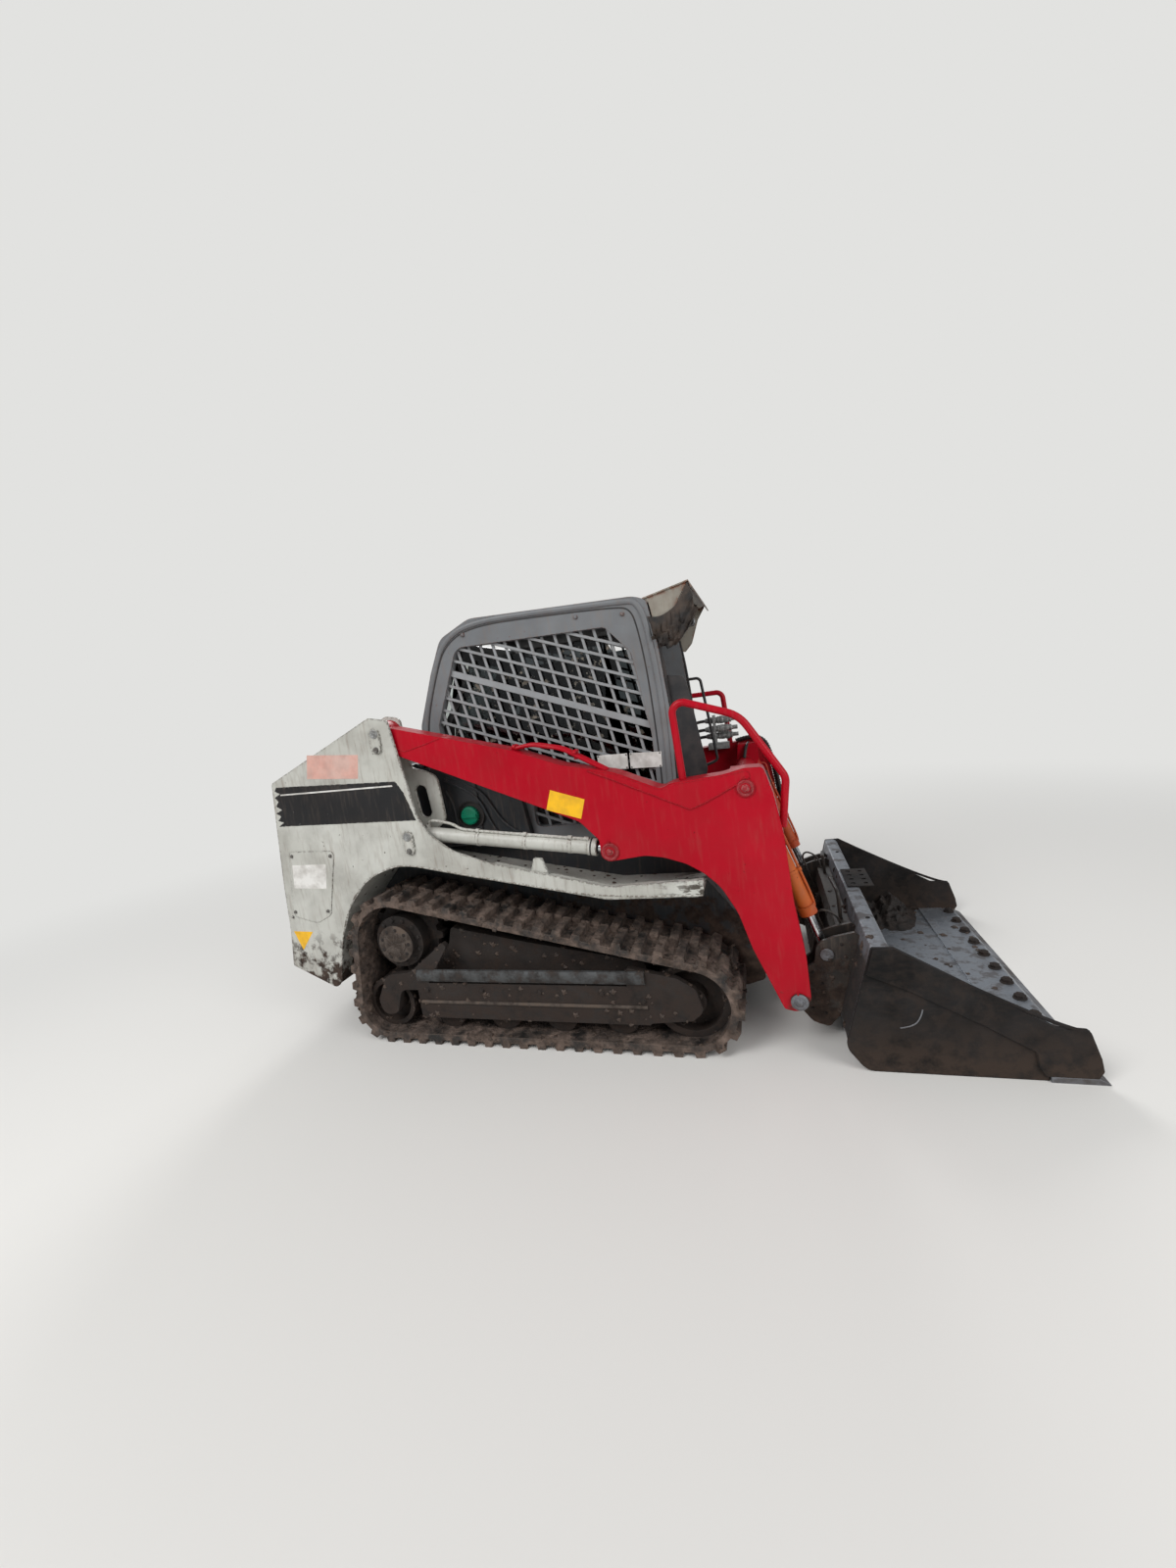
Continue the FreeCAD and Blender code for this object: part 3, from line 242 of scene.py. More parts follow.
# the same white, with its front end scraped
scuffed_white = enamel("scuffed_off_white_enamel", "#c0c0b9", "#aeada5", "#33291f", chips=0.9,
                       dirt=0.4, mud=(0.22, 0.66), streaks=0.45, wear=0.016, chip_size=12,
                       scuffed=(0.20, 0.38))
# a full red that hardly reflects, so that it stays red in the light
bright_red = enamel("bright_red_enamel", "#a3021a", "#ae0820", "#5e1210", roughness=0.32, chips=0.6,
                    dirt=0.12, mud=(0.10, 0.34), streaks=0.10, scratch=0.35, specular=0.16)
# darker red on bolt heads and rings, with pale pink chips at the edges that are partly a painted highlight on the
# rims
dark_red_painted_rim_highlight = enamel("dark_red_enamel_painted_rim_highlight", "#7d1019", "#b0303c", "#c78a86", roughness=0.42, chips=0.8,
                  dirt=0.35, mud=(0.10, 0.34), streaks=0.2, specular=0.25, wear=0.004)
# three greys of the cab, with rust at the chips
cab_grey = enamel("mid_grey_enamel", "#686b6e", "#787a7c", "#6e3d22", chips=0.95, dirt=0.28,
                  mud=(0.2, 0.8), streaks=0.35, specular=0.25)
guard_grey = enamel("light_grey_guard_enamel", "#85888a", "#929496", "#5f4638", chips=0.6, dirt=0.22,
                    mud=(0.2, 0.8), streaks=0.2, specular=0.25)
visor_paint = enamel("weathered_beige_grey_enamel", "#847f75", "#9b958a", "#6a3519", roughness=0.5,
                     chips=1.0, dirt=0.7, mud=(0.2, 0.8), streaks=0.7, chip_size=24, specular=0.22,
                     wear=0.022)
# dark coats: satin on the frame, a little glossier on the hood, grimy on the hitch
charcoal = enamel("dark_grey_enamel", "#2a2d30", "#36393c", "#4c392d", roughness=0.45, chips=0.6,
                  dirt=0.35, mud=(0.3, 0.9), streaks=0.25, specular=0.3)
black_enamel = enamel("black_enamel", "#151617", "#202123", "#4b4744", roughness=0.35, chips=0.7,
                      dirt=0.35, mud=(0.4, 0.8), streaks=0.3)
hitch_paint = enamel("grimy_dark_enamel", "#232120", "#3d3935", "#4d3528", roughness=0.42, chips=1.0,
                     dirt=0.6, mud=(0.1, 0.55), chip_size=14)
# orange where rust has bled through red
rusted_orange = enamel("rusted_orange_enamel", "#a32116", "#cc6a24", "#5e2a13", roughness=0.5,
                       chips=1.0, dirt=0.30, mud=(0.1, 0.3), chip_size=16)
# a black band scraped through to pale primer
band_vinyl = enamel("scuffed_black_band", "#151517", "#232325", "#c9c6bd", chips=1.0, dirt=0.15,
                    mud=(-0.2, -0.1), streaks=0.15, chip_size=16)
print("enamels:", len([m for m in bpy.data.materials if "enamel" in m.name]))

# %% [markdown]
# ## Bare metal, rubber and plastic
# Worn steel shines where soil rubs it and browns where it rests. Rubber is dull and grey, and on
# a track it hardly shows under the caked mud. Hard chrome on a rod is the one clean finish.

# %% Worn steel
def worn_steel(name, steel, dull, grime, share=0.45, metallic=0.85, roughness=0.35, size=160,
               mud=(-0.2, -0.1), polish=None, specular=0.5):
    """Make bare or part painted steel: polished patches, dull patches and grime between them."""
    material, tree, shader, place = new_material(name)
    shader.inputs["Specular IOR Level"].default_value = specular
    rubbed = speckle(tree, place, size, 0.40, 0.60, detail=7)
    if polish:
        # soil polishes the floor; the rolled top edge is rubbed by the hands and loads above it
        floor_zone = height_mask(tree, place, *polish[:2])
        top_zone = calculate(tree, "SUBTRACT", 1.0, height_mask(tree, place, *polish[2:]))
        zone = calculate(tree, "MAXIMUM", floor_zone, calculate(tree, "MULTIPLY", top_zone, 0.75))
        rubbed = calculate(tree, "MULTIPLY", zone, speckle(tree, place, size, 0.26, 0.44))
    fine = speckle(tree, place, 14, 0.42, 0.66, stretch=(0.3, 1.0, 1.0))
    grimy = calculate(tree, "MULTIPLY", speckle(tree, place, 70, 0.48, 0.60, detail=8), share)
    grimy = calculate(tree, "MAXIMUM", grimy, calculate(tree, "MULTIPLY", fine, 0.25))
    low = calculate(tree, "MULTIPLY", height_mask(tree, place, *mud),
                    speckle(tree, place, 60, 0.30, 0.55, detail=8))
    grimy = calculate(tree, "MAXIMUM", grimy, low)
    edges = edge_mask(tree, 0.005)
    grimy = calculate(tree, "SUBTRACT", grimy, calculate(tree, "MULTIPLY", edges, 0.7))
    base = blend(tree, edges, blend(tree, rubbed, dull, steel), steel)
    bright = calculate(tree, "MULTIPLY", calculate(tree, "MAXIMUM", rubbed, edges), metallic)
    shine = calculate(tree, "MULTIPLY", bright, calculate(tree, "SUBTRACT", 1.0, grimy))
    height = calculate(tree, "ADD", calculate(tree, "MULTIPLY", grimy, 0.6),
                       calculate(tree, "MULTIPLY", fine, 0.15), clamp=False)
    plug(tree, shader, {"Metallic": shine})
    surface(tree, shader, blend(tree, grimy, base, grime), shine, (0.82, roughness), height,
            0.5, 0.003, 0.002)
    return material


# black paint, browned by mud low down
bucket_black = worn_steel("black_paint_worn_to_steel", "#232121", "#080707", "#382d26", share=0.4,
                          metallic=0.2, roughness=0.30, size=260, mud=(0.05, 0.26), specular=0.28)
# bare metal that shines on the floor and on the top edge, between heights in metres
bucket_inside = worn_steel("soil_polished_bucket_floor", "#9499a0", "#1f1c1b", "#332a25", share=0.75,
                           roughness=0.30, size=420, polish=(0.045, 0.13, 0.42, 0.46))
edge_steel = worn_steel("ground_edge_steel", "#85878c", "#4d4947", "#342b26", share=0.6,
                        metallic=0.8, roughness=0.34)
# iron under mud: damp and dark, or dried and pale; and iron washed by rain, in a lighter grey that is partly a
# painted sheen
muddy_iron = worn_steel("mud_caked_cast_iron", "#2e2a28", "#110d0b", "#2c211b", share=1.0,
                        metallic=0.25, roughness=0.32, size=170, mud=(0.15, 0.7), specular=0.4)
dried_mud_iron = worn_steel("dried_mud_on_cast_iron", "#5f5650", "#332b26", "#56493f", share=0.9,
                            metallic=0.15, roughness=0.5, size=70, specular=0.3)
wet_iron_painted_sheen = worn_steel("rain_wet_iron_painted_sheen", "#4f5152", "#191513", "#2a201a", share=1.0,
                      metallic=0.5, roughness=0.26, size=60, mud=(0.10, 0.36), specular=0.6)
plated_steel = worn_steel("grimy_plated_steel", "#b0b1af", "#777775", "#3a3430", share=0.5,
                          metallic=0.9, roughness=0.3, size=30)
engine_iron = worn_steel("painted_engine_iron", "#4a4a4c", "#38383a", "#2a2624", share=0.6,
                         metallic=0.1, roughness=0.6)

# %% Plastic, rubber, chrome and soil
def plain_finish(name, colour, second, roughness, size, metallic=0.0, bump=0.1, dirt=0.0, dirt_size=60):
    """Make a moulded or plated finish: two near colours in patches, with fine grain and dirt."""
    material, tree, shader, place = new_material(name)
    base = blend(tree, speckle(tree, place, size, 0.38, 0.64), colour, second)
    dirty = calculate(tree, "MULTIPLY", speckle(tree, place, dirt_size, 0.42, 0.66, detail=7), dirt)
    plug(tree, shader, {"Metallic": metallic, "IOR": 1.5})
    grain = add(tree, "ShaderNodeTexNoise", {"Vector": place, "Scale": 900.0, "Detail": 3.0})
    height = calculate(tree, "ADD", grain.outputs["Fac"], dirty, clamp=False)
    surface(tree, shader, blend(tree, dirty, base, MUD), dirty, (roughness, 0.9), height, bump, 0.002)
    return material


# name, first colour, second colour, roughness, patches in mm: the eye reads gloss from roughness
# and age from the second colour and the dirt
hard_chrome = plain_finish("hard_chrome", "#d9dbdd", "#c9cbce", 0.12, 80, metallic=1.0, bump=0.02,
                           dirt=0.25, dirt_size=20)
zinc_bolt = plain_finish("dull_zinc_plate", "#8b8a86", "#6c6a66", 0.45, 12, metallic=0.7, dirt=0.5,
                         dirt_size=12)
black_plastic = plain_finish("moulded_black_plastic", "#1a1a1c", "#262628", 0.5, 60, bump=0.2, dirt=0.25)
green_plastic = plain_finish("green_moulded_plastic", "#0c8463", "#0a7a5b", 0.32, 40, bump=0.05, dirt=0.15)
red_lens = plain_finish("red_lens_plastic", "#a3100f", "#8e0d0d", 0.15, 30, bump=0.02)
hose_rubber = plain_finish("black_hose_rubber", "#161617", "#232324", 0.55, 40, bump=0.15, dirt=0.35)
# black, for rubber and sealant; on the cab's grooves and the posts' front edges it is painted shade
black_seal_and_painted_shade = plain_finish("black_sealant_and_painted_shade", "#17181a", "#222325", 0.6, 20, bump=0.2, dirt=0.4)
vinyl = plain_finish("black_vinyl", "#1b1b1d", "#252527", 0.42, 50, bump=0.35, dirt=0.30)
white_label = plain_finish("blank_white_label", "#dcdad6", "#cfccc6", 0.35, 60, bump=0.02, dirt=0.30)
yellow_label = plain_finish("blank_yellow_label", "#f2b90c", "#e6ad10", 0.35, 60, bump=0.02, dirt=0.18)
faded_vinyl = plain_finish("faded_pink_label", "#cf9f92", "#c9a79c", 0.45, 90, bump=0.02, dirt=0.2)
lining_cloth = plain_finish("torn_headliner_cloth", "#0d0b0a", "#3f3228", 0.7, 75, bump=0.4, dirt=0.2)
wet_mud = plain_finish("wet_clay_mud", "#2c221c", "#4a3b31", 0.55, 30, bump=0.6, dirt=0.3)
dark_soil = plain_finish("dark_damp_soil", "#15100d", "#261d18", 0.7, 40, bump=0.5, dirt=0.2)


def muddy_rubber(name):
    """Make track rubber: dull black where it flexes clean, brown where mud has dried on it."""
    material, tree, shader, place = new_material(name)
    caked = speckle(tree, place, 90, 0.36, 0.56, detail=8)
    tone = blend(tree, speckle(tree, place, 40, 0.35, 0.68), "#43362e", "#75645a")
    base = blend(tree, caked, "#1c1917", tone)
    base = blend(tree, calculate(tree, "MULTIPLY", edge_mask(tree, 0.006), 0.5), base, "#6b5b50")
    lumps = calculate(tree, "MULTIPLY", calculate(tree, "ADD", caked, 0.3, clamp=False),
                      speckle(tree, place, 30, 0.2, 0.8, detail=9), clamp=False)
    surface(tree, shader, base, caked, (0.6, 0.95), lumps, 0.9, 0.010, 0.006)
    return material


track_rubber = muddy_rubber("mud_caked_track_rubber")

# %% Glass and panes
def clear(name, tint, roughness):
    """Make clear glass or polycarbonate, dusty in patches."""
    material, tree, shader, place = new_material(name)
    dusty = speckle(tree, place, 200, 0.4, 0.7)
    base = blend(tree, calculate(tree, "MULTIPLY", dusty, 0.4), tint, MUD_DRY)
    plug(tree, shader, {"Base Color": base, "Transmission Weight": 1.0, "IOR": 1.5,
                        "Roughness": grade(tree, dusty, 0.0, 1.0, roughness, 0.35)})
    return material


def splashed(name, tint):
    """Make a tinted plastic pane with dried splashes on it."""
    material, tree, shader, place = new_material(name)
    drops = calculate(tree, "MULTIPLY", speckle(tree, place, 42, 0.60, 0.64, detail=8), 0.8)
    fine = calculate(tree, "MULTIPLY", speckle(tree, place, 9, 0.66, 0.70, detail=3), 0.7)
    dried = calculate(tree, "MAXIMUM", drops, fine)
    plug(tree, shader, {"Base Color": blend(tree, dried, tint, "#8f8578"), "IOR": 1.45,
                        "Transmission Weight": calculate(tree, "SUBTRACT", 1.0, dried),
                        "Roughness": grade(tree, dried, 0.0, 1.0, 0.04, 0.9),
                        "Specular IOR Level": 0.2})
    return material


safety_glass = clear("dusty_safety_glass", "#dfe8e6", 0.02)
side_pane = splashed("splashed_smoked_pane", "#3b4042")
lamp_lens = clear("clear_lamp_lens", "#f2f4f4", 0.05)
print("materials so far:", len(bpy.data.materials))

# %% [markdown]
# ## Which piece wears what
# A table gives each finish its pieces. A name that ends in a star stands for both sides.

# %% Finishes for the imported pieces
finishes = [
    (off_white, ["tower_inner*", "rear_header", "lift_barrels"]),
    (scuffed_white, ["tower_outer*", "fender_deck*"]),
    (bright_red, ["arm*", "cross_tube", "hose_guards", "hose_lines"]),
    (cab_grey, ["cab_side*", "cab_roof", "cab_rear"]),
    (guard_grey, ["cab_mesh*"]),
    (visor_paint, ["visor"]),
    (charcoal, ["main_frame", "rear_bumper", "door_hinges", "firewall", "side_panel*", "cab_floor"]),
    (black_enamel, ["hood", "rear_door"]),
    (rusted_orange, ["tilt_barrels"]),
    (hitch_paint, ["hitch", "hitch_levers"]),
    (bucket_black, ["bucket_side*", "bucket_step"]),
    (bucket_inside, ["bucket_shell"]),
    (edge_steel, ["cutting_edge", "wear_plates"]),
    (muddy_iron, ["track_wheels*", "sprocket*", "track_frame*"]),
    (track_rubber, ["track*"]),
    (plated_steel, ["couplers"]),
    (engine_iron, ["engine"]),
    (hard_chrome, ["lift_rods", "tilt_rods"]),
    (black_plastic, ["consoles", "restraint_bar", "seat_frame", "work_lamps", "entry_handles"]),
    (vinyl, ["seat_cushion", "seat_back"]),
    (green_plastic, ["fuel_cap"]),
    (safety_glass, ["rear_window"]),
]
dressed = set()
for material, names in finishes:
    for name in names:
        pair = [name[:-1] + side for side in ("_left", "_right")] if name.endswith("*") else [name]
        for node in pair:
            mesh = nodes[node].data
            mesh.materials.clear()
            mesh.materials.append(material)
            dressed.add(node)
print("left undressed:", sorted(set(nodes) - dressed))

# %% [markdown]
# ## Shapes
# Sheet metal parts are cut from plate with rounded corners, bosses and caps are turned on a
# lathe, trim is drawn as one section along a line, and pipes follow a smooth bend. Four
# functions do these four things. All take millimetres, as the machine was measured, and all
# draw the left side unless the side given is -1, the right.

# %% Helpers for pieces
SIDES = (("right", -1), ("left", 1))
BOTH = (-1, 1)
OUT, UP = (0, 1, 0), (0, 0, 1)
# bodies and slots that many pieces share
TOWER_SKIN, CAB_SKIN, FRAME_SKIN = [("chassis", slot) for slot in ("white_paint", "grey_paint", "dark_paint")]
TRIM, RUNNING_GEAR = ("chassis", "black_plastic"), ("chassis", "undercarriage")
ARM_SKIN, ARM_TRIM, BUCKET_SKIN = ("arms", "red_paint"), ("arms", "black_plastic"), ("bucket", "bucket_paint")


def metres(*values):
    """Turn millimetres into a vector in metres."""
    return Vector([value / 1000 for value in values])


def link(name, mesh):
    """Make an object of a mesh and put it in the scene."""
    made = bpy.data.objects.new(name, mesh)
    bpy.context.scene.collection.objects.link(made)
    return made


def to_mesh(name, shape):
    """Turn a bmesh into a mesh and free it."""
    mesh = bpy.data.meshes.new(name)
    shape.to_mesh(mesh)
    shape.free()
    return mesh


def piece(name, shape, material, body, slot):
    """Make an object of a mesh or a bmesh, with its finish, riding on a body."""
    mesh = shape
    if isinstance(shape, bmesh.types.BMesh):
        bmesh.ops.recalc_face_normals(shape, faces=shape.faces)
        mesh = to_mesh(name, shape)
    mesh.materials.clear()
    mesh.materials.append(material)
    mesh.shade_smooth()
    mesh.set_sharp_from_angle(angle=math.radians(32))
    made = link(name, mesh)
    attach(made, body)
    return made


def build(name, parts, material, body, slot, sides=(1,)):
    """Make one piece of parts, each a function with its values, on the sides given."""
    shape = bmesh.new()
    for side in sides:
        for make, *values in parts:
            make(shape, *values, side=side)
    return piece(name, shape, material, body, slot)


def build_pair(name, parts, material, body, slot):
    """Make a piece for the right side and its mirror image for the left."""
    for label, side in SIDES:
        build(name + label, parts, material, body, slot, (side,))


# %% Helpers for shapes
def rounded(points, steps=4):
    """Round the corners of an outline of (across, up) or (across, up, radius) points."""
    ring = []
    for i, point in enumerate(points):
        spot = Vector(point[:2])
        if len(point) < 3:
            ring.append(spot)
            continue
        before = (Vector(points[i - 1][:2]) - spot).normalized()
        after = (Vector(points[(i + 1) % len(points)][:2]) - spot).normalized()
        half = before.angle(after) / 2
        middle = spot + (before + after).normalized() * (point[2] / math.sin(half))
        start = spot + before * (point[2] / math.tan(half)) - middle
        end = spot + after * (point[2] / math.tan(half)) - middle
        ring += [middle + start.slerp(end, step / steps) for step in range(steps + 1)]
    return ring


def plate(shape, points, low, high, plane="xz", side=1):
    """Cut a plate to an outline, between two distances from the plane given, edges broken."""
    turn = {"xz": lambda a, b, d: (a, d * side, b), "yz": lambda a, b, d: (d, a, b),
            "xy": lambda a, b, d: (a, b, d)}[plane]
    face = shape.faces.new([shape.verts.new(metres(*turn(a, b, low))) for a, b in rounded(points)])
    grown = bmesh.ops.extrude_face_region(shape, geom=[face])["geom"]
    top = [v for v in grown if isinstance(v, bmesh.types.BMVert)]
    bmesh.ops.translate(shape, verts=top, vec=metres(*turn(0, 0, high - low)))
    rim = {edge for f in grown if isinstance(f, bmesh.types.BMFace) for edge in f.edges}
    bmesh.ops.bevel(shape, geom=list(rim), offset=min(0.0008, abs(high - low) / 2500), segments=1,
                    affect="EDGES")


def box(shape, a, b, low, high, corner=0, plane="xz", side=1):
    """Cut a rectangular plate, from one (across, up) corner to the opposite one."""
    spots = [(a[0], a[1]), (b[0], a[1]), (b[0], b[1]), (a[0], b[1])]
    plate(shape, [(*spot, corner) for spot in spots] if corner else spots, low, high, plane, side)


def close_rings(shape, rings):
    """Join rings of corners by faces and close the two ends."""
    for before, after in zip(rings, rings[1:]):
        for i in range(len(before)):
            shape.faces.new((before[i - 1], before[i], after[i], after[i - 1]))
    shape.faces.new(rings[0])
    shape.faces.new(rings[-1])


def turned(shape, profile, origin, axis, sides=28, side=1):
    """Turn a profile of (radius, distance) steps about an axis through a point."""
    (x, y, z), (ahead, across, above) = origin, axis
    way = Vector((ahead, across * side, above)).to_track_quat("Z", "Y").to_matrix().to_4x4()
    place = Matrix.Translation(metres(x, y * side, z)) @ way
    spokes = [(math.cos(2 * math.pi * i / sides), math.sin(2 * math.pi * i / sides)) for i in range(sides)]
    close_rings(shape, [[shape.verts.new(place @ metres(radius * a, radius * b, distance))
                         for a, b in spokes] for radius, distance in profile])


def smooth_line(points, steps=8, radius=0.0, sides=3):
    """Follow a smooth curve that the points steer; with a radius it is a round pipe."""
    curve = bpy.data.curves.new("line", "CURVE")
    curve.dimensions = "3D"
    spline = curve.splines.new("NURBS")
    spline.points.add(len(points) - 1)
    for spot, point in zip(spline.points, points):
        spot.co = (*metres(*point), 1.0)
    spline.order_u = 3
    spline.use_endpoint_u = True
    curve.resolution_u = steps
    curve.bevel_depth = radius / 1000
    curve.bevel_resolution = sides
    curve.use_fill_caps = True
    holder = bpy.data.objects.new("line", curve)
    mesh = bpy.data.meshes.new_from_object(holder)
    bpy.data.objects.remove(holder)
    return mesh


def pipe(shape, points, radius, steps=8, side=1):
    """Bend a round pipe or hose along a smooth curve."""
    shape.from_mesh(smooth_line([(x, y * side, z) for x, y, z in points], steps, radius))


def moulding(shape, points, section, y, smooth=True, side=1):
    """Draw a section of (across, out) points along an (x, z) line on a side plane."""
    line = [metres(x, 0, z) for x, z in points]
    if smooth:
        line = [v.co for v in smooth_line([(x, 0, z) for x, z in points], 10).vertices]
    rings = []
    for i, spot in enumerate(line):
        along = (line[min(i + 1, len(line) - 1)] - line[max(i - 1, 0)]).normalized()
        across = Vector((-along.z, 0, along.x))
        rings.append([shape.verts.new(spot + across * (a / 1000) + metres(0, (y + out) * side, 0))
                      for a, out in section])
    close_rings(shape, rings)


def half_round(width, height, sink=1.0):
    """Give the section of a bead of a width and height, sunk a little into its plate."""
    arc = [(math.cos(math.pi * i / 6), math.sin(math.pi * i / 6)) for i in range(7)]
    bead = [(across * width / 2, max(out * height, -sink)) for across, out in arc]
    return bead + [(-width / 2, -sink), (width / 2, -sink)]


def circle(x, y, z, radius, count=24, start=0.0, span=2 * math.pi):
    """Give points round an (x, z) centre on a side plane."""
    turns = [start + span * i / count for i in range(count + 1)]
    return [(x + radius * math.cos(turn), y, z + radius * math.sin(turn)) for turn in turns]


# %% [markdown]
# ## What repeats
# Bolts, weld ripples and clods of mud repeat by the hundred. Each kind is one small node group:
# it takes places, puts the same thing on each with its own turn and size, and gives one mesh.

# %% Node groups for what repeats
FULL_TURN = 6.28


def start_group(name, **inputs):
    """Begin a node group with a geometry input and output and the named inputs."""
    group = bpy.data.node_groups.new(name, "GeometryNodeTree")
    group.interface.new_socket("Geometry", in_out="OUTPUT", socket_type="NodeSocketGeometry")
    for label, kind in {"Geometry": "Geometry", **inputs, "Material": "Material"}.items():
        group.interface.new_socket(label, in_out="INPUT", socket_type="NodeSocket" + kind)
    return group, group.nodes.new("NodeGroupInput").outputs


def end_group(group, geometry, material):
    """Turn instances into plain mesh, give the material, and end the group."""
    real = add(group, "GeometryNodeRealizeInstances", {"Geometry": geometry}).outputs["Geometry"]
    painted = add(group, "GeometryNodeSetMaterial", {"Geometry": real, "Material": material})
    plug(group, group.nodes.new("NodeGroupOutput"), {"Geometry": painted.outputs["Geometry"]})


def draw(group, seed, low, high):
    """Draw a random number between two values for each place."""
    return add(group, "FunctionNodeRandomValue", {"Seed": seed, 2: low, 3: high},
               data_type="FLOAT").outputs[1]


def put_on_places(group, given, source, places, stood, scale):
    """Put one thing on each place, stood a way, spun about itself at random, and sized."""
    spin = add(group, "FunctionNodeAxisAngleToRotation", {
        "Axis": (0, 0, 1), "Angle": draw(group, given["Seed"], 0.0, FULL_TURN)}).outputs["Rotation"]
    spun = add(group, "FunctionNodeRotateRotation", {"Rotation": stood, "Rotate By": spin},
               rotation_space="LOCAL").outputs["Rotation"]
    thing = add(group, "GeometryNodeObjectInfo", {"Object": given[source]}).outputs["Geometry"]
    placed = add(group, "GeometryNodeInstanceOnPoints", {
        "Points": places, "Instance": thing, "Rotation": spun, "Scale": scale})
    end_group(group, placed.outputs["Instances"], given["Material"])


def run_group(group, mesh, **values):
    """Run a node group on a mesh and give the plain mesh that comes out."""
    holder = link("holder", mesh)
    modifier = holder.modifiers.new(group.name, "NODES")
    modifier.node_group = group
    for item in group.interface.items_tree:
        if item.in_out == "INPUT" and item.name in values:
            modifier[item.identifier] = values[item.name]
    made = bpy.data.meshes.new_from_object(holder.evaluated_get(bpy.context.evaluated_depsgraph_get()))
    holder.modifiers.clear()
    bpy.data.objects.remove(holder)
    return made


fasteners, given = start_group("fasteners", Fastener="Object", Seed="Int")
outwards, sized = [add(fasteners, "GeometryNodeInputNamedAttribute", {"Name": name}, data_type=kind).outputs[
    "Attribute"] for name, kind in (("outwards", "FLOAT_VECTOR"), ("size", "FLOAT"))]
stood = add(fasteners, "FunctionNodeAlignRotationToVector", {"Vector": outwards}, axis="Z")
put_on_places(fasteners, given, "Fastener", given["Geometry"], stood.outputs["Rotation"], sized)

welds, given = start_group("weld_bead", Radius="Float", Ripple="Float")
quarter = calculate(welds, "DIVIDE", given["Ripple"], 4.0, clamp=False)
path = add(welds, "GeometryNodeMeshToCurve", {"Mesh": given["Geometry"]}).outputs["Curve"]
path = add(welds, "GeometryNodeResampleCurve", {"Curve": path, "Length": quarter}, mode="LENGTH")
passed = add(welds, "GeometryNodeSplineParameter").outputs["Length"]
waves = calculate(welds, "DIVIDE", passed, given["Ripple"], clamp=False)
waves = calculate(welds, "MULTIPLY", waves, 6.2832, clamp=False)
waves = calculate(welds, "SINE", waves, 0.5, clamp=False)
ring = add(welds, "GeometryNodeCurvePrimitiveCircle", {"Resolution": 7, "Radius": given["Radius"]})
bead = add(welds, "GeometryNodeCurveToMesh", {
    "Curve": path.outputs["Curve"], "Profile Curve": ring.outputs["Curve"],
    "Scale": grade(welds, waves, -1.0, 1.0, 0.84, 1.12), "Fill Caps": True})
end_group(welds, bead.outputs["Mesh"], given["Material"])

clods, given = start_group("mud_clods", Clod="Object", Density="Float", Patch="Float", Smallest="Float",
                           Largest="Float", Floor="Float", Seed="Int")
where = add(clods, "GeometryNodeInputPosition").outputs["Position"]
noise = add(clods, "ShaderNodeTexNoise", {"Vector": where, "Scale": given["Patch"], "Detail": 3.0})
height = add(clods, "ShaderNodeSeparateXYZ", {"Vector": where}).outputs["Z"]
above = calculate(clods, "GREATER_THAN", height, given["Floor"], clamp=False)
share = calculate(clods, "MULTIPLY", grade(clods, noise.outputs["Fac"], 0.44, 0.60), above)
share = calculate(clods, "MULTIPLY", share, given["Density"], clamp=False)
spots = add(clods, "GeometryNodeDistributePointsOnFaces", {
    "Mesh": given["Geometry"], "Density": share, "Seed": given["Seed"]}).outputs
put_on_places(clods, given, "Clod", spots["Points"], spots["Rotation"],
              draw(clods, given["Seed"], given["Smallest"], given["Largest"]))
print("node groups:", [group.name for group in bpy.data.node_groups])

# %% Sources for the groups
shape = bmesh.new()
# a washer, a hex head with its corners chamfered, and the end of the shank
turned(shape, [(11.5, -1), (11.5, 1.4), (10.8, 2)], (0, 0, 0), UP, 20)
turned(shape, [(9.6, 1), (9.6, 7.2), (8.2, 8.4)], (0, 0, 0), UP, 6)
turned(shape, [(5, 7), (5, 9.2), (4.2, 9.8)], (0, 0, 0), UP, 12)
bmesh.ops.recalc_face_normals(shape, faces=shape.faces)
bolt_mesh = to_mesh("bolt_source", shape)
bolt_mesh.shade_smooth()
bolt_mesh.set_sharp_from_angle(angle=math.radians(30))
bolt_source = bpy.data.objects.new("bolt_source", bolt_mesh)

shape = bmesh.new()
bmesh.ops.create_icosphere(shape, subdivisions=2, radius=1.0)
for vert in shape.verts:
    # a flat lump with dents, sunk by a third
    bump = 1 + 0.20 * math.sin(vert.co.x * 5 + 1) + 0.16 * math.sin(vert.co.y * 7 + vert.co.z * 3)
    vert.co = Vector((vert.co.x * bump, vert.co.y * bump * 0.8, vert.co.z * bump * 0.42))
clod_mesh = to_mesh("clod_source", shape)
clod_mesh.shade_smooth()
clod_source = bpy.data.objects.new("clod_source", clod_mesh)


def bolts(name, rows, material, body, slot, seed=1, side=1):
    """Set bolts in rows of (places, outward direction, size); size 1 has a 17 mm head."""
    spots = [(metres(x, y * side, z), (way[0], way[1] * side, way[2]), size)
             for places, way, size in rows for x, y, z in places]
    mesh = bpy.data.meshes.new(name + "_places")
    mesh.from_pydata([spot for spot, _, _ in spots], [], [])
    mesh.attributes.new("outwards", "FLOAT_VECTOR", "POINT").data.foreach_set(
        "vector", [value for _, way, _ in spots for value in way])
    mesh.attributes.new("size", "FLOAT", "POINT").data.foreach_set("value", [size for _, _, size in spots])
    made = run_group(fasteners, mesh, Fastener=bolt_source, Seed=seed, Material=material)
    return piece(name, made, material, body, slot)


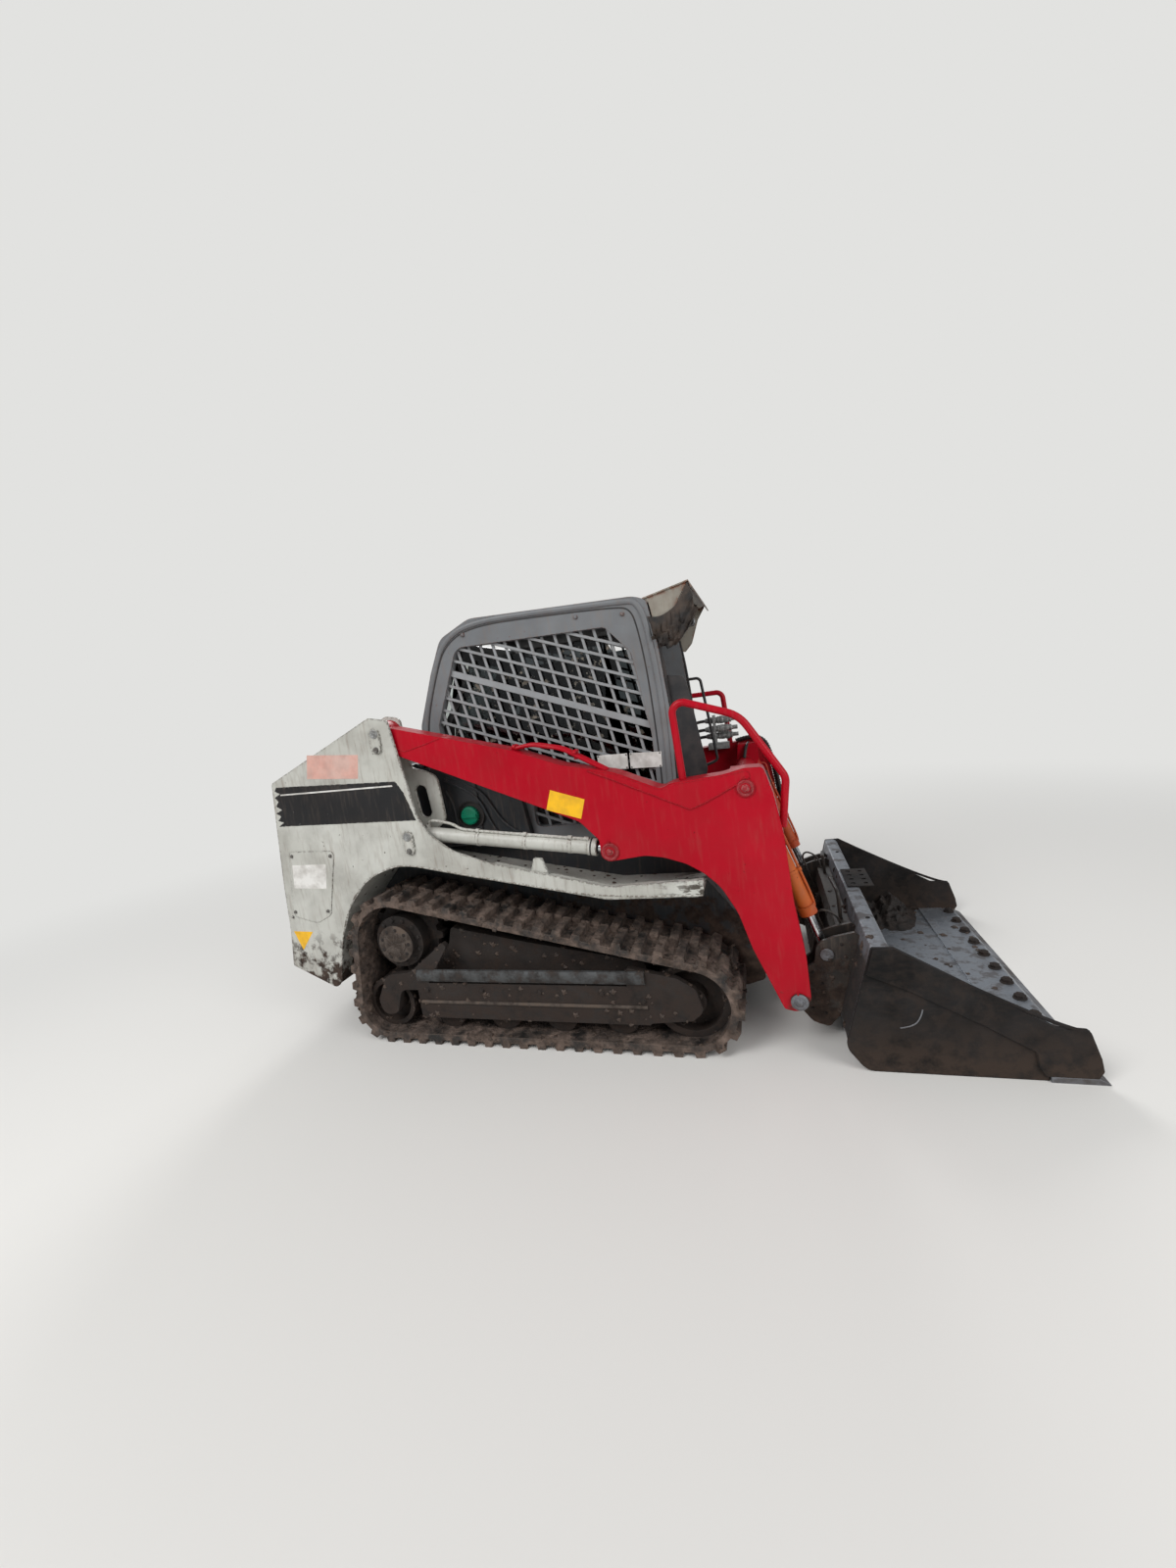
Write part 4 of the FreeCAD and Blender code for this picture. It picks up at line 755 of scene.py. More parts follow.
def weld(name, seams, material, body, slot, radius=4.0, ripple=5.0, side=1):
    """Lay rippled weld beads along seams of (x, y, z) points."""
    places, edges = [], []
    for seam in seams:
        edges += [(len(places) + i, len(places) + i + 1) for i in range(len(seam) - 1)]
        places += [metres(x, y * side, z) for x, y, z in seam]
    mesh = bpy.data.meshes.new(name + "_seams")
    mesh.from_pydata(places, edges, [])
    made = run_group(welds, mesh, Radius=radius / 1000, Ripple=ripple / 1000, Material=material)
    return piece(name, made, material, body, slot)


def mud(name, nodes_below, density, patch, smallest, largest, floor, seed, body, slot):
    """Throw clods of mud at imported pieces, in patches, above a height in millimetres."""
    shape = bmesh.new()
    for node in nodes_below:
        shape.from_mesh(nodes[node].data)
    bmesh.ops.triangulate(shape, faces=shape.faces)
    made = run_group(clods, to_mesh(name + "_ground", shape), Clod=clod_source, Density=density,
                     Patch=patch, Smallest=smallest / 1000, Largest=largest / 1000, Floor=floor / 1000,
                     Seed=seed, Material=wet_mud)
    print(name, "triangles:", sum(len(face.vertices) - 2 for face in made.polygons))
    return piece(name, made, wet_mud, body, slot)


# %% [markdown]
# ## Tower, cover and fender
# The tall white tower carries the arm's pivot and the lift cylinder's base. Each pin ends in an
# oval keeper with a bolt below it. A plate bolted on at its four corners covers the service
# hole. A black band crosses the tower and is left blank, as every sign on the machine is.

# %% Tower
TOWER = 700
TORN_END = [(-1628, 1112), (-1596, 1131), (-1626, 1142), (-1604, 1163), (-1630, 1180), (-1590, 1196),
            (-1622, 1214), (-1600, 1236), (-1618, 1258), (-1584, 1274), (-1612, 1290)]
COVER = rounded([(-1602, 983, 24), (-1326, 973, 24), (-1418, 646, 30), (-1509, 605, 60), (-1652, 643, 30)])
ARCH = [(-1437, 305), (-1395, 500), (-1300, 700), (-1172, 822), (-1017, 878), (-905, 879), (-662, 826),
        (-320, 757), (16, 690), (415, 691)]
for label, side in SIDES:
    bolts("tower_bolts_" + label, [
        ([(-1586, 703, 958), (-1354, 703, 948), (-1432, 703, 668), (-1634, 703, 668)], OUT, 0.8),
        ([(-980, 709, 1430), (-900, 709, 948)], OUT, 1.25),
        ([(-1660, 700, 640), (-1650, 700, 470), (-1520, 700, 300)], OUT, 0.7)],
        zinc_bolt, *TOWER_SKIN, 3, side)
build_pair("pivot_pin_ends_", [part for x, z in ((-977, 1502), (-900, 1016)) for part in (
    (turned, [(20, 0), (20, 3.4), (18.2, 5), (8, 5), (7, 3.6)], (x, 708.6, z), OUT),
    (turned, [(3.4, 3), (3.4, 6.6), (2.4, 7.4)], (x, 708.6, z), OUT, 12))],
    plated_steel, "chassis", "chrome_rod")
build_pair("tower_band_", [
    (plate, [(-1600, 1312, 4), (-914, 1281, 4), (-876, 1222, 6), (-838, 1086, 4)] + TORN_END,
     TOWER - 0.2, TOWER + 0.5)], band_vinyl, *TOWER_SKIN)
build_pair("tower_white_labels_", [
    (plate, [(-1580, 1272), (-936, 1262), (-934, 1255), (-1580, 1265)], TOWER + 0.4, TOWER + 0.9),
    (plate, [(-1600, 917, 6), (-1384, 913, 6), (-1411, 778, 6), (-1616, 788, 6)], 702.8, 703.5)],
    white_label, *TOWER_SKIN)
build_pair("tower_yellow_label_", [
    (plate, [(-1678, 566, 3), (-1552, 561, 3), (-1640, 452, 6)], TOWER - 0.2, TOWER + 0.5)],
    yellow_label, *TOWER_SKIN)
build_pair("tower_faded_label_", [
    (plate, [(-1378, 1448, 3), (-1086, 1420, 3), (-1111, 1306, 3), (-1404, 1331, 3)],
     TOWER - 0.2, TOWER + 0.5)], faded_vinyl, *TOWER_SKIN)
# a dark line in the mud finish runs round the step of the bolted cover, and a lip runs round the wheel arch
build_pair("cover_dirt_line_", [
    (moulding, [(x, z) for x, z in COVER] + [(-1602, 940)], half_round(7, 1.6), TOWER, False)],
    wet_mud, *TOWER_SKIN)
build_pair("arch_lip_", [(moulding, ARCH, half_round(7, 3), TOWER)], off_white, *TOWER_SKIN)
print("tower dressed")

# %% [markdown]
# ## Lift cylinders and their steel lines
# A steel tube feeds the rod end of each lift cylinder. It leaves a block at the base, turns
# down in an elbow and lies along the top of the barrel, held by bands.

# %% Lift cylinders
def beside(base, eye):
    """Give a cylinder's direction, the way off its axis, and a function for places beside it."""
    way = (eye - base).normalized()
    off = Vector((-way.z, 0, way.x))

    def at(distance, height, y):
        """Give the place along the cylinder from its base, off its axis, and across."""
        spot = base + way * distance + off * height
        return (spot.x, y, spot.z)
    return way, off, at


lift_way, lift_up, by_lift = beside(Vector((-900, 0, 1016)), Vector((50, 0, 887)))
LIFT_LINE = [(66, 30, 632), (70, 58, 636), (96, 70, 638), (150, 66, 638), (205, 58, 640), (240, 40, 644),
             (300, 37, 645), (560, 37, 645), (780, 37, 645), (838, 37, 643), (862, 34, 640)]
build_pair("lift_lines_", [
    (pipe, [by_lift(*spot) for spot in LIFT_LINE], 7.0, 6),
    (turned, [(12, -6), (12, 20), (9, 23)], by_lift(66, 26, 632), lift_up, 6),
    (turned, [(11, -8), (11, 12), (8.5, 14)], by_lift(842, 37, 643), lift_way, 6)] + [
    part for distance in (330, 560, 770) for part in (
        (turned, [(35.2, -9), (36.2, -8), (36.2, 8), (35.2, 9)], by_lift(distance, 0, 630), lift_way, 36),
        (turned, [(10, -9), (10, 9)], by_lift(distance, 38, 645), lift_way, 14))],
    off_white, "lift_barrel", "white_paint")
build_pair("lift_rod_wipers_", [
    (turned, [(39.2, -3), (39.6, -2), (39.6, 2), (39.2, 3)], by_lift(866, 0, 630), lift_way, 36),
    (turned, [(30, 0), (30, 5), (26, 7)], by_lift(889, 0, 630), lift_way, 30)],
    black_seal_and_painted_shade, "lift_barrel", "white_paint")

# %% [markdown]
# ## Loader arms
# Each arm is a welded box. Its doubler, bosses and ends show rippled weld beads under the red
# enamel, and the pins through it carry a bolt in a red boss. A blank yellow plate is stuck on.

# %% Arms
KNEE_SEAM = [(-3, 1236), (91, 1194), (160, 1160), (229, 1127), (320, 1082), (401, 1043), (453, 1061),
             (520, 1092), (584, 1124), (628, 1138), (638, 1150)]
REAR_SEAM = [(-1012, 1440), (-930, 1440), (-852, 1406), (-760, 1424), (-664, 1446)]
for label, side in SIDES:
    weld("arm_welds_" + label, [[(x, 683.2, z) for x, z in KNEE_SEAM], [(x, 680.2, z) for x, z in REAR_SEAM],
                                circle(50, 680.4, 887, 39.5), circle(620, 683.4, 1110, 35)],
         bright_red, *ARM_SKIN, 2.6, 4.5, side)
    bolts("arm_pin_bolts_" + label, [([(50, 688.6, 887), (620, 688.6, 1110)], OUT, 1.35)],
          dark_red_painted_rim_highlight, *ARM_SKIN, 5, side)
# the pin bolts above and these rings are darker red; their pale pink edges are partly a painted highlight on the
# rims
build_pair("arm_pin_rings_", [
    (turned, [(radius, -1), (radius, 2), (radius - 2, 3.4), (radius - 6, 3.4), (radius - 8, 1.2), (12, 1.2)],
     (x, 684, z), OUT, 36) for x, z, radius in ((50, 887, 37), (620, 1110, 32))], dark_red_painted_rim_highlight, *ARM_SKIN)
build_pair("arm_yellow_label_", [
    (plate, [(-181, 1174, 4), (-28, 1120, 4), (-56, 1032, 4), (-212, 1084, 4)], 679.8, 680.6)],
    yellow_label, *ARM_SKIN)
# grease nipples at the pins and clips that hold the hose lines to the top of the arm
nipples = [(turned, [(5.5, -1), (5.5, 4), (3, 5), (3, 8), (4, 9), (4, 11), (2.4, 13)], (x, 680, z), OUT, 10)
           for x, z in ((745, 262), (620, 1150), (50, 930))]
clips = [part for x, z in ((-330, 1366), (-60, 1314)) for part in (
    (turned, [(12, -7), (12, 7)], (x, 616, z), (0.93, 0, -0.25), 16),
    (turned, [(12, -7), (12, 7)], (x, 644, z), (0.93, 0, -0.25), 16),
    (box, (x - 9, z - 30), (x + 9, z + 6), 626, 634))]
build_pair("arm_clips_", nipples + clips, bright_red, *ARM_SKIN)
print("arms dressed")

# %% [markdown]
# ## Hoses in spiral guards
# Hoses run down the front of the left arm to the tilt cylinder. They are strapped to the arm and
# wrapped in a plastic spiral, so each is drawn as a fixed pipe with a helix round it.

# %% Hoses
def spiral(shape, points, radius, pitch, strip, side=1):
    """Wind a strip round a smooth line, as a spiral hose guard."""
    line = [v.co * 1000 for v in smooth_line([(x, y * side, z) for x, y, z in points], 12).vertices]
    travel, wound = 0.0, []
    for before, after in zip(line, line[1:]):
        length = (after - before).length
        along = (after - before).normalized()
        first = (first - along * first.dot(along) if wound else along.orthogonal()).normalized()
        second = along.cross(first)
        steps = max(1, int(length / (pitch / 10)))
        for step in range(steps):
            turn = 2 * math.pi * (travel + length * step / steps) / pitch
            wound.append(before.lerp(after, step / steps) + first * radius * math.cos(turn)
                         + second * radius * math.sin(turn))
        travel += length
    shape.from_mesh(smooth_line(wound, 1, strip, 1))


# down the left arm's inner front edge to the tilt cylinder's base
ROUTES = [[(560, 570, 1178), (640, 566, 1196), (700, 566, 1170), (728, 568, 1080), (752, 572, 960),
           (764, 574, 800), (768, 570, 660)],
          [(548, 548, 1184), (636, 544, 1208), (712, 546, 1176), (742, 550, 1080), (764, 556, 960),
           (780, 560, 800), (782, 558, 640)]]
build("arm_hoses", [part for route in ROUTES for part in (
    (pipe, route, 8.5, 8), (spiral, route, 9.5, 15, 2.2))], hose_rubber, *ARM_TRIM)
build("tilt_hoses", [(pipe, [(592, 430 - drop, 1092), (604, 448 - drop, 1150), (616, 480 - drop / 2, 1168),
                             (620, 500, 1166), (624, 512, 1140)], 8, 6) for drop in (0, 26)]
      + [(pipe, [(700, 470, 1000), (712, 462, 960), (718, 462, 930)], 7, 6)], hose_rubber, *ARM_TRIM, BOTH)

# %% [markdown]
# ## Cab
# The roll cage is pressed steel. A rounded rail stands out round each side frame with a
# groove inside it, painted black as shade, and the paint has gone through to rust in places.
# The posts' front edges are painted black as shade too. A smoked plastic pane, splashed with
# mud, stands inside the bar guard. Two blank labels are riveted outside.

# %% Cab frame
CAB = 430
GROOVE = [(-868, 1180), (-872, 1330), (-870, 1500), (-776, 1738), (-702, 1874), (-550, 1938), (-161, 1922),
          (140, 1903), (209, 1886), (232, 1786), (252, 1581), (260, 1273), (258, 1100), (254, 960)]
RAIL = [(-886, 1180), (-888, 1330), (-886, 1503), (-788, 1746), (-714, 1890), (-556, 1957), (-161, 1941),
        (180, 1922), (236, 1912), (268, 1830), (292, 1581), (300, 1380), (294, 1120), (290, 960)]
POST = [(282, 1900), (310, 1722), (324, 1560), (333, 1399), (331, 1260), (324, 1120), (320, 960)]
PANE = [(-790, 1312, 40), (-796, 1498, 60), (-644, 1842, 60), (78, 1819, 30), (178, 1700, 60),
        (227, 1341, 200), (222, 980, 30), (-360, 980, 30), (-360, 1190, 40), (-512, 1312, 40)]
RIVETS = [(-20, 1266), (110, 1262), (108, 1204), (-16, 1211), (132, 1263), (262, 1255), (259, 1198),
          (130, 1203)]
FRAME_BOLTS = [(-840, 960), (-846, 1130), (276, 1010), (-600, 1905), (-40, 1892), (170, 1870)]
# the groove is painted black as the shade that falls in it
build_pair("cab_groove_", [(moulding, GROOVE, [(-3.5, 0.6), (3.5, 0.6), (3.5, -1), (-3.5, -1)], CAB)],
           black_seal_and_painted_shade, *CAB_SKIN)
build_pair("cab_rail_", [(moulding, RAIL, half_round(26, 9), CAB)], cab_grey, *CAB_SKIN)
build_pair("guard_labels_", [
    (plate, [(-28, 1274, 3), (118, 1270, 3), (116, 1196, 3), (-24, 1204, 3)], CAB + 0.2, CAB + 1.4),
    (plate, [(124, 1270, 3), (272, 1262, 3), (268, 1190, 3), (122, 1196, 3)], CAB + 0.2, CAB + 1.4)],
    white_label, *CAB_SKIN)
for label, side in SIDES:
    bolts("guard_rivets_" + label, [([(x, CAB + 1.2, z) for x, z in RIVETS], OUT, 0.34)],
          zinc_bolt, *CAB_SKIN, 7, side)
    bolts("cab_bolts_" + label, [([(x, CAB, z) for x, z in FRAME_BOLTS], OUT, 0.9)],
          cab_grey, *CAB_SKIN, 8, side)
# a black strip round the open front, on the posts' front edges: painted shade where the posts' insides fall dark
build_pair("door_seal_", [(moulding, POST, [(-2, -34), (5, -34), (8, -26), (8, -8), (5, 0), (-2, 0)], 424)],
           black_seal_and_painted_shade, *TRIM)
build("side_panes", [(plate, PANE, 393, 396)], side_pane, "chassis", "glass", BOTH)

# %% Cab interior
PILLAR = [(-846, 1180, 8), (-868, 1500, 60), (-776, 1738, 120), (-700, 1876, 20), (-660, 1876, 20),
          (-740, 1730, 120), (-836, 1500, 60), (-826, 1180, 8)]
REAR_TRIM = [(-846, 850, 10), (-846, 1180, 40), (-560, 1180, 60), (-400, 1060, 60), (-380, 850, 10)]
FRONT_TRIM = [(-140, 580, 10), (-140, 980, 30), (210, 980, 30), (250, 600, 30)]
build("headliner", [(plate, [(-640, 1898, 20), (-548, 1926, 30), (226, 1888, 20), (226, 1874, 8),
                             (-548, 1906, 30), (-626, 1884, 8)], -376, 376)]
      + [(plate, [(-540, 1908, 3), (200, 1876, 3), (200, 1868, 3), (-540, 1898, 3)], y - 30, y + 30)
         for y in (-250, -125, 0, 125, 250)], black_plastic, *TRIM)
build("cab_trim", [(plate, outline, side * 378, side * 384) for side in BOTH
                   for outline in (REAR_TRIM, FRONT_TRIM)]
      + [(plate, PILLAR, 326, 384), (plate, PILLAR, -384, -326)], black_plastic, *TRIM)
build("floor_mat", [(box, (-120 + 40 * i, -300), (-96 + 40 * i, 300), 575, 581, 0, "xy") for i in range(13)]
      + [(box, (-130, -320), (405, 320), 574.5, 577, 20, "xy")], hose_rubber, *TRIM)
build("foot_rests", [part for y in (-190, 190) for part in (
    (box, (250, y - 45), (360, y + 45), 640, 646, 12, "xy"),
    (box, (300, 577), (320, 641), y - 10, y + 10))], black_plastic, *TRIM)

# %% Levers, armrests and restraint
LEVER_LEAN = (20, 0, 120)
BOOT = [(40, -4), (40, 4), (33, 10), (37, 17), (30, 23), (33, 30), (26, 36), (28, 43), (21, 50), (22, 57),
        (14, 66), (12, 72)]
GRIP = [(15, -6), (20, 4), (24.6, 22), (25.6, 40), (24.8, 60), (26.5, 74), (27, 84), (20, 92)]
ARMREST = [(-548, 1061, 12), (-250, 1068, 12), (-246, 1092, 12), (-300, 1102, 20), (-520, 1094, 20)]
PAD_RIBS = [(24 if i % 2 else 22.6, 12 + 7 * i) for i in range(27)]
build("lever_grips", [part for side in BOTH for part in (
    (turned, BOOT, (-190, side * 327.5, 1066), LEVER_LEAN, 24),
    (turned, GRIP, (-172, side * 327.5, 1172), (12, 0, 75), 20),
    (turned, [(6, -2), (6, 4), (4, 6)], (-153, side * 319.5, 1258), (0.1, 0, 1), 12),
    (plate, ARMREST, side * 327 - 44, side * 327 + 44))], black_plastic, *TRIM)
build("restraint_pads", [
    (turned, [(17, 0), (23, 3), (24, 8)] + PAD_RIBS + [(24, 202), (23, 207), (17, 210)],
     (-225, -105, 1150), OUT, 24)] + [
    (turned, [(17, -30), (21, -27), (21, 27), (17, 30)], (-420, y, 1243), (0.9, 0, -0.43), 20)
    for y in (-205, 205)], vinyl, *TRIM)

# %% Visor and work lamps
build("lamp_lenses", [(box, (y - 38, 1857), (y + 38, 1893), 401, 405, 6, "yz") for y in (-295, 295)],
      lamp_lens, "chassis", "lamp")
build("lamp_bezels", [part for y, low in ((-295, -333), (295, 307)) for part in [
    (box, (y - 45, 1850), (y + 45, 1900), 399.5, 402, 8, "yz")] + [
    (box, (334 + 10 * i, 1899), (339 + 10 * i, 1905), low, low + 26) for i in range(5)]],
    black_plastic, *TRIM)

# %% [markdown]
# ## Torn lining
# Under the visor hangs a torn sheet of lining, crumpled and brown with dirt. A thin sheet held
# along one edge is given folds that grow towards its free edge.

# %% Torn lining
ACROSS, DOWN, LINING_WIDTH = 30, 28, 0.25
# five lines along the lining, each at a distance across, from its pinned edge round to its loose edge
LINING_LINES = [(-431, [(276, 1842), (315, 1828), (370, 1846), (416, 1876), (455, 1948)]),
                (-438, [(288, 1800), (308, 1772), (366, 1762), (430, 1812), (478, 1890)]),
                (-438, [(303, 1752), (312, 1708), (362, 1686), (440, 1744), (492, 1826)]),
                (-398, [(328, 1752), (336, 1722), (372, 1704), (436, 1762), (484, 1848)]),
                (-356, [(332, 1790), (345, 1772), (385, 1790), (428, 1835), (468, 1900)])]
LINING_HOLES = ((5, 19), (13, 21), (22, 20))
guides = [[v.co * 1000 for v in smooth_line([(x, y, z) for x, z in line], 10).vertices]
          for y, line in LINING_LINES]
shape = bmesh.new()
grid = []
for i in range(ACROSS + 1):
    steer = [line[round(i / ACROSS * (len(line) - 1))] for line in guides]
    fall = [v.co * 1000 for v in smooth_line([tuple(spot) for spot in steer], 10).vertices]
    row = []
    for j in range(DOWN + 1):
        share = j / DOWN
        spot = fall[round(share * (len(fall) - 1))]
        ripple = (math.sin(i * 0.9 + j * 0.35) * 12 + math.sin(i * 0.55 - j * 0.7 + 1) * 9
                  + math.sin(i * 2.3 + j * 1.7) * 2)
        loose = min(1.0, 4 * share)
        out = -abs(ripple) * 1.3 * (1 - share) + ripple * 0.3 * share
        row.append(shape.verts.new(metres(spot.x + ripple * 0.3 * loose, spot.y + out * loose,
                                          spot.z + ripple * 0.45 * loose)))
    grid.append(row)
for i in range(ACROSS):
    # the loose edge is ragged and has a few holes
    ragged = DOWN - (i * 5 + i // 3) % 4
    for j in range(ragged):
        if not any(low <= i < low + 2 and high <= j < high + 3 for low, high in LINING_HOLES):
            shape.faces.new((grid[i][j], grid[i + 1][j], grid[i + 1][j + 1], grid[i][j + 1]))
bmesh.ops.delete(shape, geom=[v for v in shape.verts if not v.link_faces], context="VERTS")
lining_fall = sum(face.calc_area() for face in shape.faces) / LINING_WIDTH
bmesh.ops.solidify(shape, geom=list(shape.faces), thickness=0.0012)
lining = piece("torn_lining", shape, lining_cloth, *TRIM)
print("lining, cut size in metres:", LINING_WIDTH, round(lining_fall, 3))

# %% [markdown]
# ## Seat
# The seat is foam under vinyl. Its pads are swelled by a little pressure inside a cloth skin,
# so that they crown and their sides draw in; the sewn channels are pressed in afterwards and
# a bead of piping runs along the cushion's front and sides.

# %% Seat
CHANNEL_HALF, CHANNEL_DEEP = 0.014, 0.008


def settled(pad):
    """Give a pad's mesh with its modifiers worked out, and take them off."""
    made = bpy.data.meshes.new_from_object(pad.evaluated_get(bpy.context.evaluated_depsgraph_get()))
    pad.modifiers.clear()
    return made


def swell(name, node, shrink, cap, channels):
    """Copy a pad, swell it as cloth under pressure, and press its sewn channels in."""
    low, high = [Vector(corner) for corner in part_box(node)]
    centre = (low + high) / 2
    pad = link(name, nodes[node].data.copy())
    for vert in pad.data.vertices:
        vert.co = centre + Vector([(a - b) * s for a, b, s in zip(vert.co, centre, shrink)])
    remesh = pad.modifiers.new("remesh", "REMESH")
    remesh.mode = "VOXEL"
    remesh.voxel_size = 0.007
    pad.data = settled(pad)
    rest = [vert.co.copy() for vert in pad.data.vertices]
    cloth = pad.modifiers.new("cloth", "CLOTH")
    cloth.settings.use_pressure = True
    cloth.settings.uniform_pressure_force = 4.0
    cloth.settings.effector_weights.gravity = 0.0
    for frame_number in range(1, 21):
        bpy.context.scene.frame_set(frame_number)
    puffed = settled(pad)
    bpy.context.scene.frame_set(1)
    for vert, start in zip(puffed.vertices, rest):
        move = vert.co - start
        if move.length > cap:
            vert.co = start + move.normalized() * cap
    pad.data = puffed
    finer = pad.modifiers.new("finer", "SUBSURF")
    finer.levels = 1
    pad.data = settled(pad)
    for vert in pad.data.vertices:
        for way, where, front in channels:
            gap = abs(vert.co.dot(way) - where)
            if gap < CHANNEL_HALF and (vert.co - centre).dot(front) > 0:
                vert.co -= front * CHANNEL_DEEP * (1 - (gap / CHANNEL_HALF) ** 2) ** 2
        vert.co = Vector([min(max(value, a), b) for value, a, b in zip(vert.co, low, high)])
    pad.data.materials.clear()
    pad.data.materials.append(vinyl)
    pad.data.shade_smooth()
    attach(pad, "chassis")
    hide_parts(node)
    return pad


SEAT_UP = Vector((0.04, 0, 1)).normalized()
BACK_UP = Vector((-0.21, 0, 0.98)).normalized()
BACK_FRONT = Vector((0.98, 0, 0.21)).normalized()
AHEAD, ACROSS_SEAT = Vector((1, 0, 0)), Vector((0, 1, 0))
cushion = swell("padded_seat_cushion", "seat_cushion", (0.95, 0.94, 0.86), 0.012,
                [(AHEAD, x, SEAT_UP) for x in (-0.52, -0.40, -0.28)]
                + [(ACROSS_SEAT, y, SEAT_UP) for y in (-0.15, 0.15)])
backrest = swell("padded_seat_back", "seat_back", (0.90, 0.94, 0.96), 0.012,
                 [(BACK_UP, height, BACK_FRONT) for height in (1.24, 1.36, 1.48)]
                 + [(ACROSS_SEAT, y, BACK_FRONT) for y in (-0.14, 0.14)])
build("seat_piping", [
    (pipe, [(-186, -215, 952), (-182, -222, 954), (-182, 222, 954), (-186, 215, 952)], 3.4, 6)] + [
    (pipe, [(-620, y, 948), (-400, y, 950), (-190, y, 952)], 3.4, 6) for y in (-226, 226)],
    vinyl, "chassis", "seat_vinyl")
build("belt_buckle", [
    (plate, [(-30, 1002, 10), (30, 1002, 10), (30, 1040, 12), (-30, 1040, 12)], -470, -440, "yz"),
    (box, (-18, 1020), (18, 1046), -462, -448, 4, "yz")], black_plastic, *TRIM)
print("seat pads:", len(cushion.data.vertices), len(backrest.data.vertices))

# %% [markdown]
# ## Engine side: panels, filler and hood
# The side panels are pressed with flutes that stiffen them. The green filler cap sits in a dark
# well, with ribs to grip round its rim. The hood and the rear door have latches and hinges.

# %% Side panels and filler
FLUTES = [[(-806, 1272), (-776, 1250), (-690, 1205), (-604, 1150), (-560, 1060), (-500, 975), (-412, 925)],
          [(-806, 1236), (-750, 1206), (-668, 1160), (-620, 1100), (-600, 1030), (-560, 945), (-520, 922)],
          [(-806, 1180), (-780, 1130), (-772, 1040), (-770, 960), (-740, 922)]]
build_pair("panel_flutes_", [(moulding, line, half_round(15, 6), 468) for line in FLUTES],
           charcoal, *FRAME_SKIN)
build("filler_well_rim", [
    (turned, [(64, -19), (64, 0), (67, 2.5), (72, 2.5), (74, 0), (74, -6)], (-692, -467, 1050),
     (0, -1, 0), 40)], black_seal_and_painted_shade, *TRIM)
build("fuel_cap_ribs", [
    (turned, [(2.6, 0), (3.4, 2), (3.4, 24), (2.2, 26)], spot, (0, -1, 0), 8)
    for spot in circle(-692, -454, 1050, 43, 20)[:20]] + [
    (turned, [(42.6, 24), (43.4, 26), (41, 29.5), (34, 31), (33, 29.6), (10, 29.4)], (-692, -453, 1050),
     (0, -1, 0), 40)], green_plastic, "chassis", "green_plastic")

# %% Hood, door and rear
LEAN = math.atan2(74, 764)
REARWARD = (-math.cos(LEAN), 0, math.sin(LEAN))


def on_door(height, y):
    """Give a point on the leaning rear face."""
    return (-1694 + (height - 565) * math.tan(LEAN), y, height)


build("door_latch", [
    (turned, [(26, -2), (26, 4), (22, 8), (10, 9), (9, 14), (7, 15)], on_door(990, 560), REARWARD, 28),
    (turned, [(18, -2), (18, 5), (15, 7)], on_door(880, 560), REARWARD, 22)],
    black_plastic, "door", "black_plastic")
bolts("door_bolts", [([on_door(z, y) for z in (630, 1250) for y in (-560, -300, 0, 300, 560)],
                      REARWARD, 0.8)], zinc_bolt, "door", "dark_paint", 11)
build("tail_lamps", [(turned, [(34, -2), (34, 10), (28, 17), (12, 20)], on_door(1215, y), REARWARD, 32)
                     for y in (-470, 470)], red_lens, "door", "lamp")
build("tail_lamp_rings", [
    (turned, [(40, -2), (40, 8), (37, 11), (34, 11), (33, 4)], on_door(1215, y), REARWARD, 32)
    for y in (-470, 470)], black_plastic, "door", "black_plastic")
build("hood_latch", [(box, (x, -300), (x + 50, 300), 1328, 1333, 8, "xy") for x in (-1480, -1130)]
      + [(box, (-1528, -40), (-1500, 40), 1329, 1338, 8, "xy")], black_plastic, "lid", "black_plastic")
build("hood_grille", [(box, (-1500 + 30 * i, -370), (-1495 + 30 * i, 370), 1306, 1309, 2, "xy")
                      for i in range(17)]
      + [(box, (-1505, -360 + 30 * i), (-1010, -356 + 30 * i), 1303.5, 1306, 1.5, "xy") for i in range(25)],
      black_plastic, "lid", "black_plastic")
bolts("hood_bolts", [([(x, y, 1330) for x in (-1520, -1000) for y in (-480, -300, 300, 480)],
                      UP, 0.7)], zinc_bolt, "lid", "hood_paint", 12)
bolts("bumper_bolts", [([(-1699, y, z) for y in (-600, -420, 420, 600) for z in (430, 520)],
                        (-1, 0, 0.15), 1.1)], zinc_bolt, *FRAME_SKIN, 13)
bolts("rear_header_bolts", [([(-1590, y, 1335) for y in (-480, -240, 0, 240, 480)], UP, 0.7)],
      zinc_bolt, *TOWER_SKIN, 14)
# the rear window's rubber
WINDOW = [(-899, 1384), (-901, 1502), (-846, 1630), (-794, 1752), (-768, 1806)]
build("rear_window_rubber", [(pipe, [(x, y, z) for x, z in WINDOW], 7, 6) for y in (-300, 300)]
      + [(pipe, [(x, y, z) for y in (-300, 0, 300)], 7, 2) for x, z in (WINDOW[0], WINDOW[-1])],
      black_seal_and_painted_shade, *TRIM)

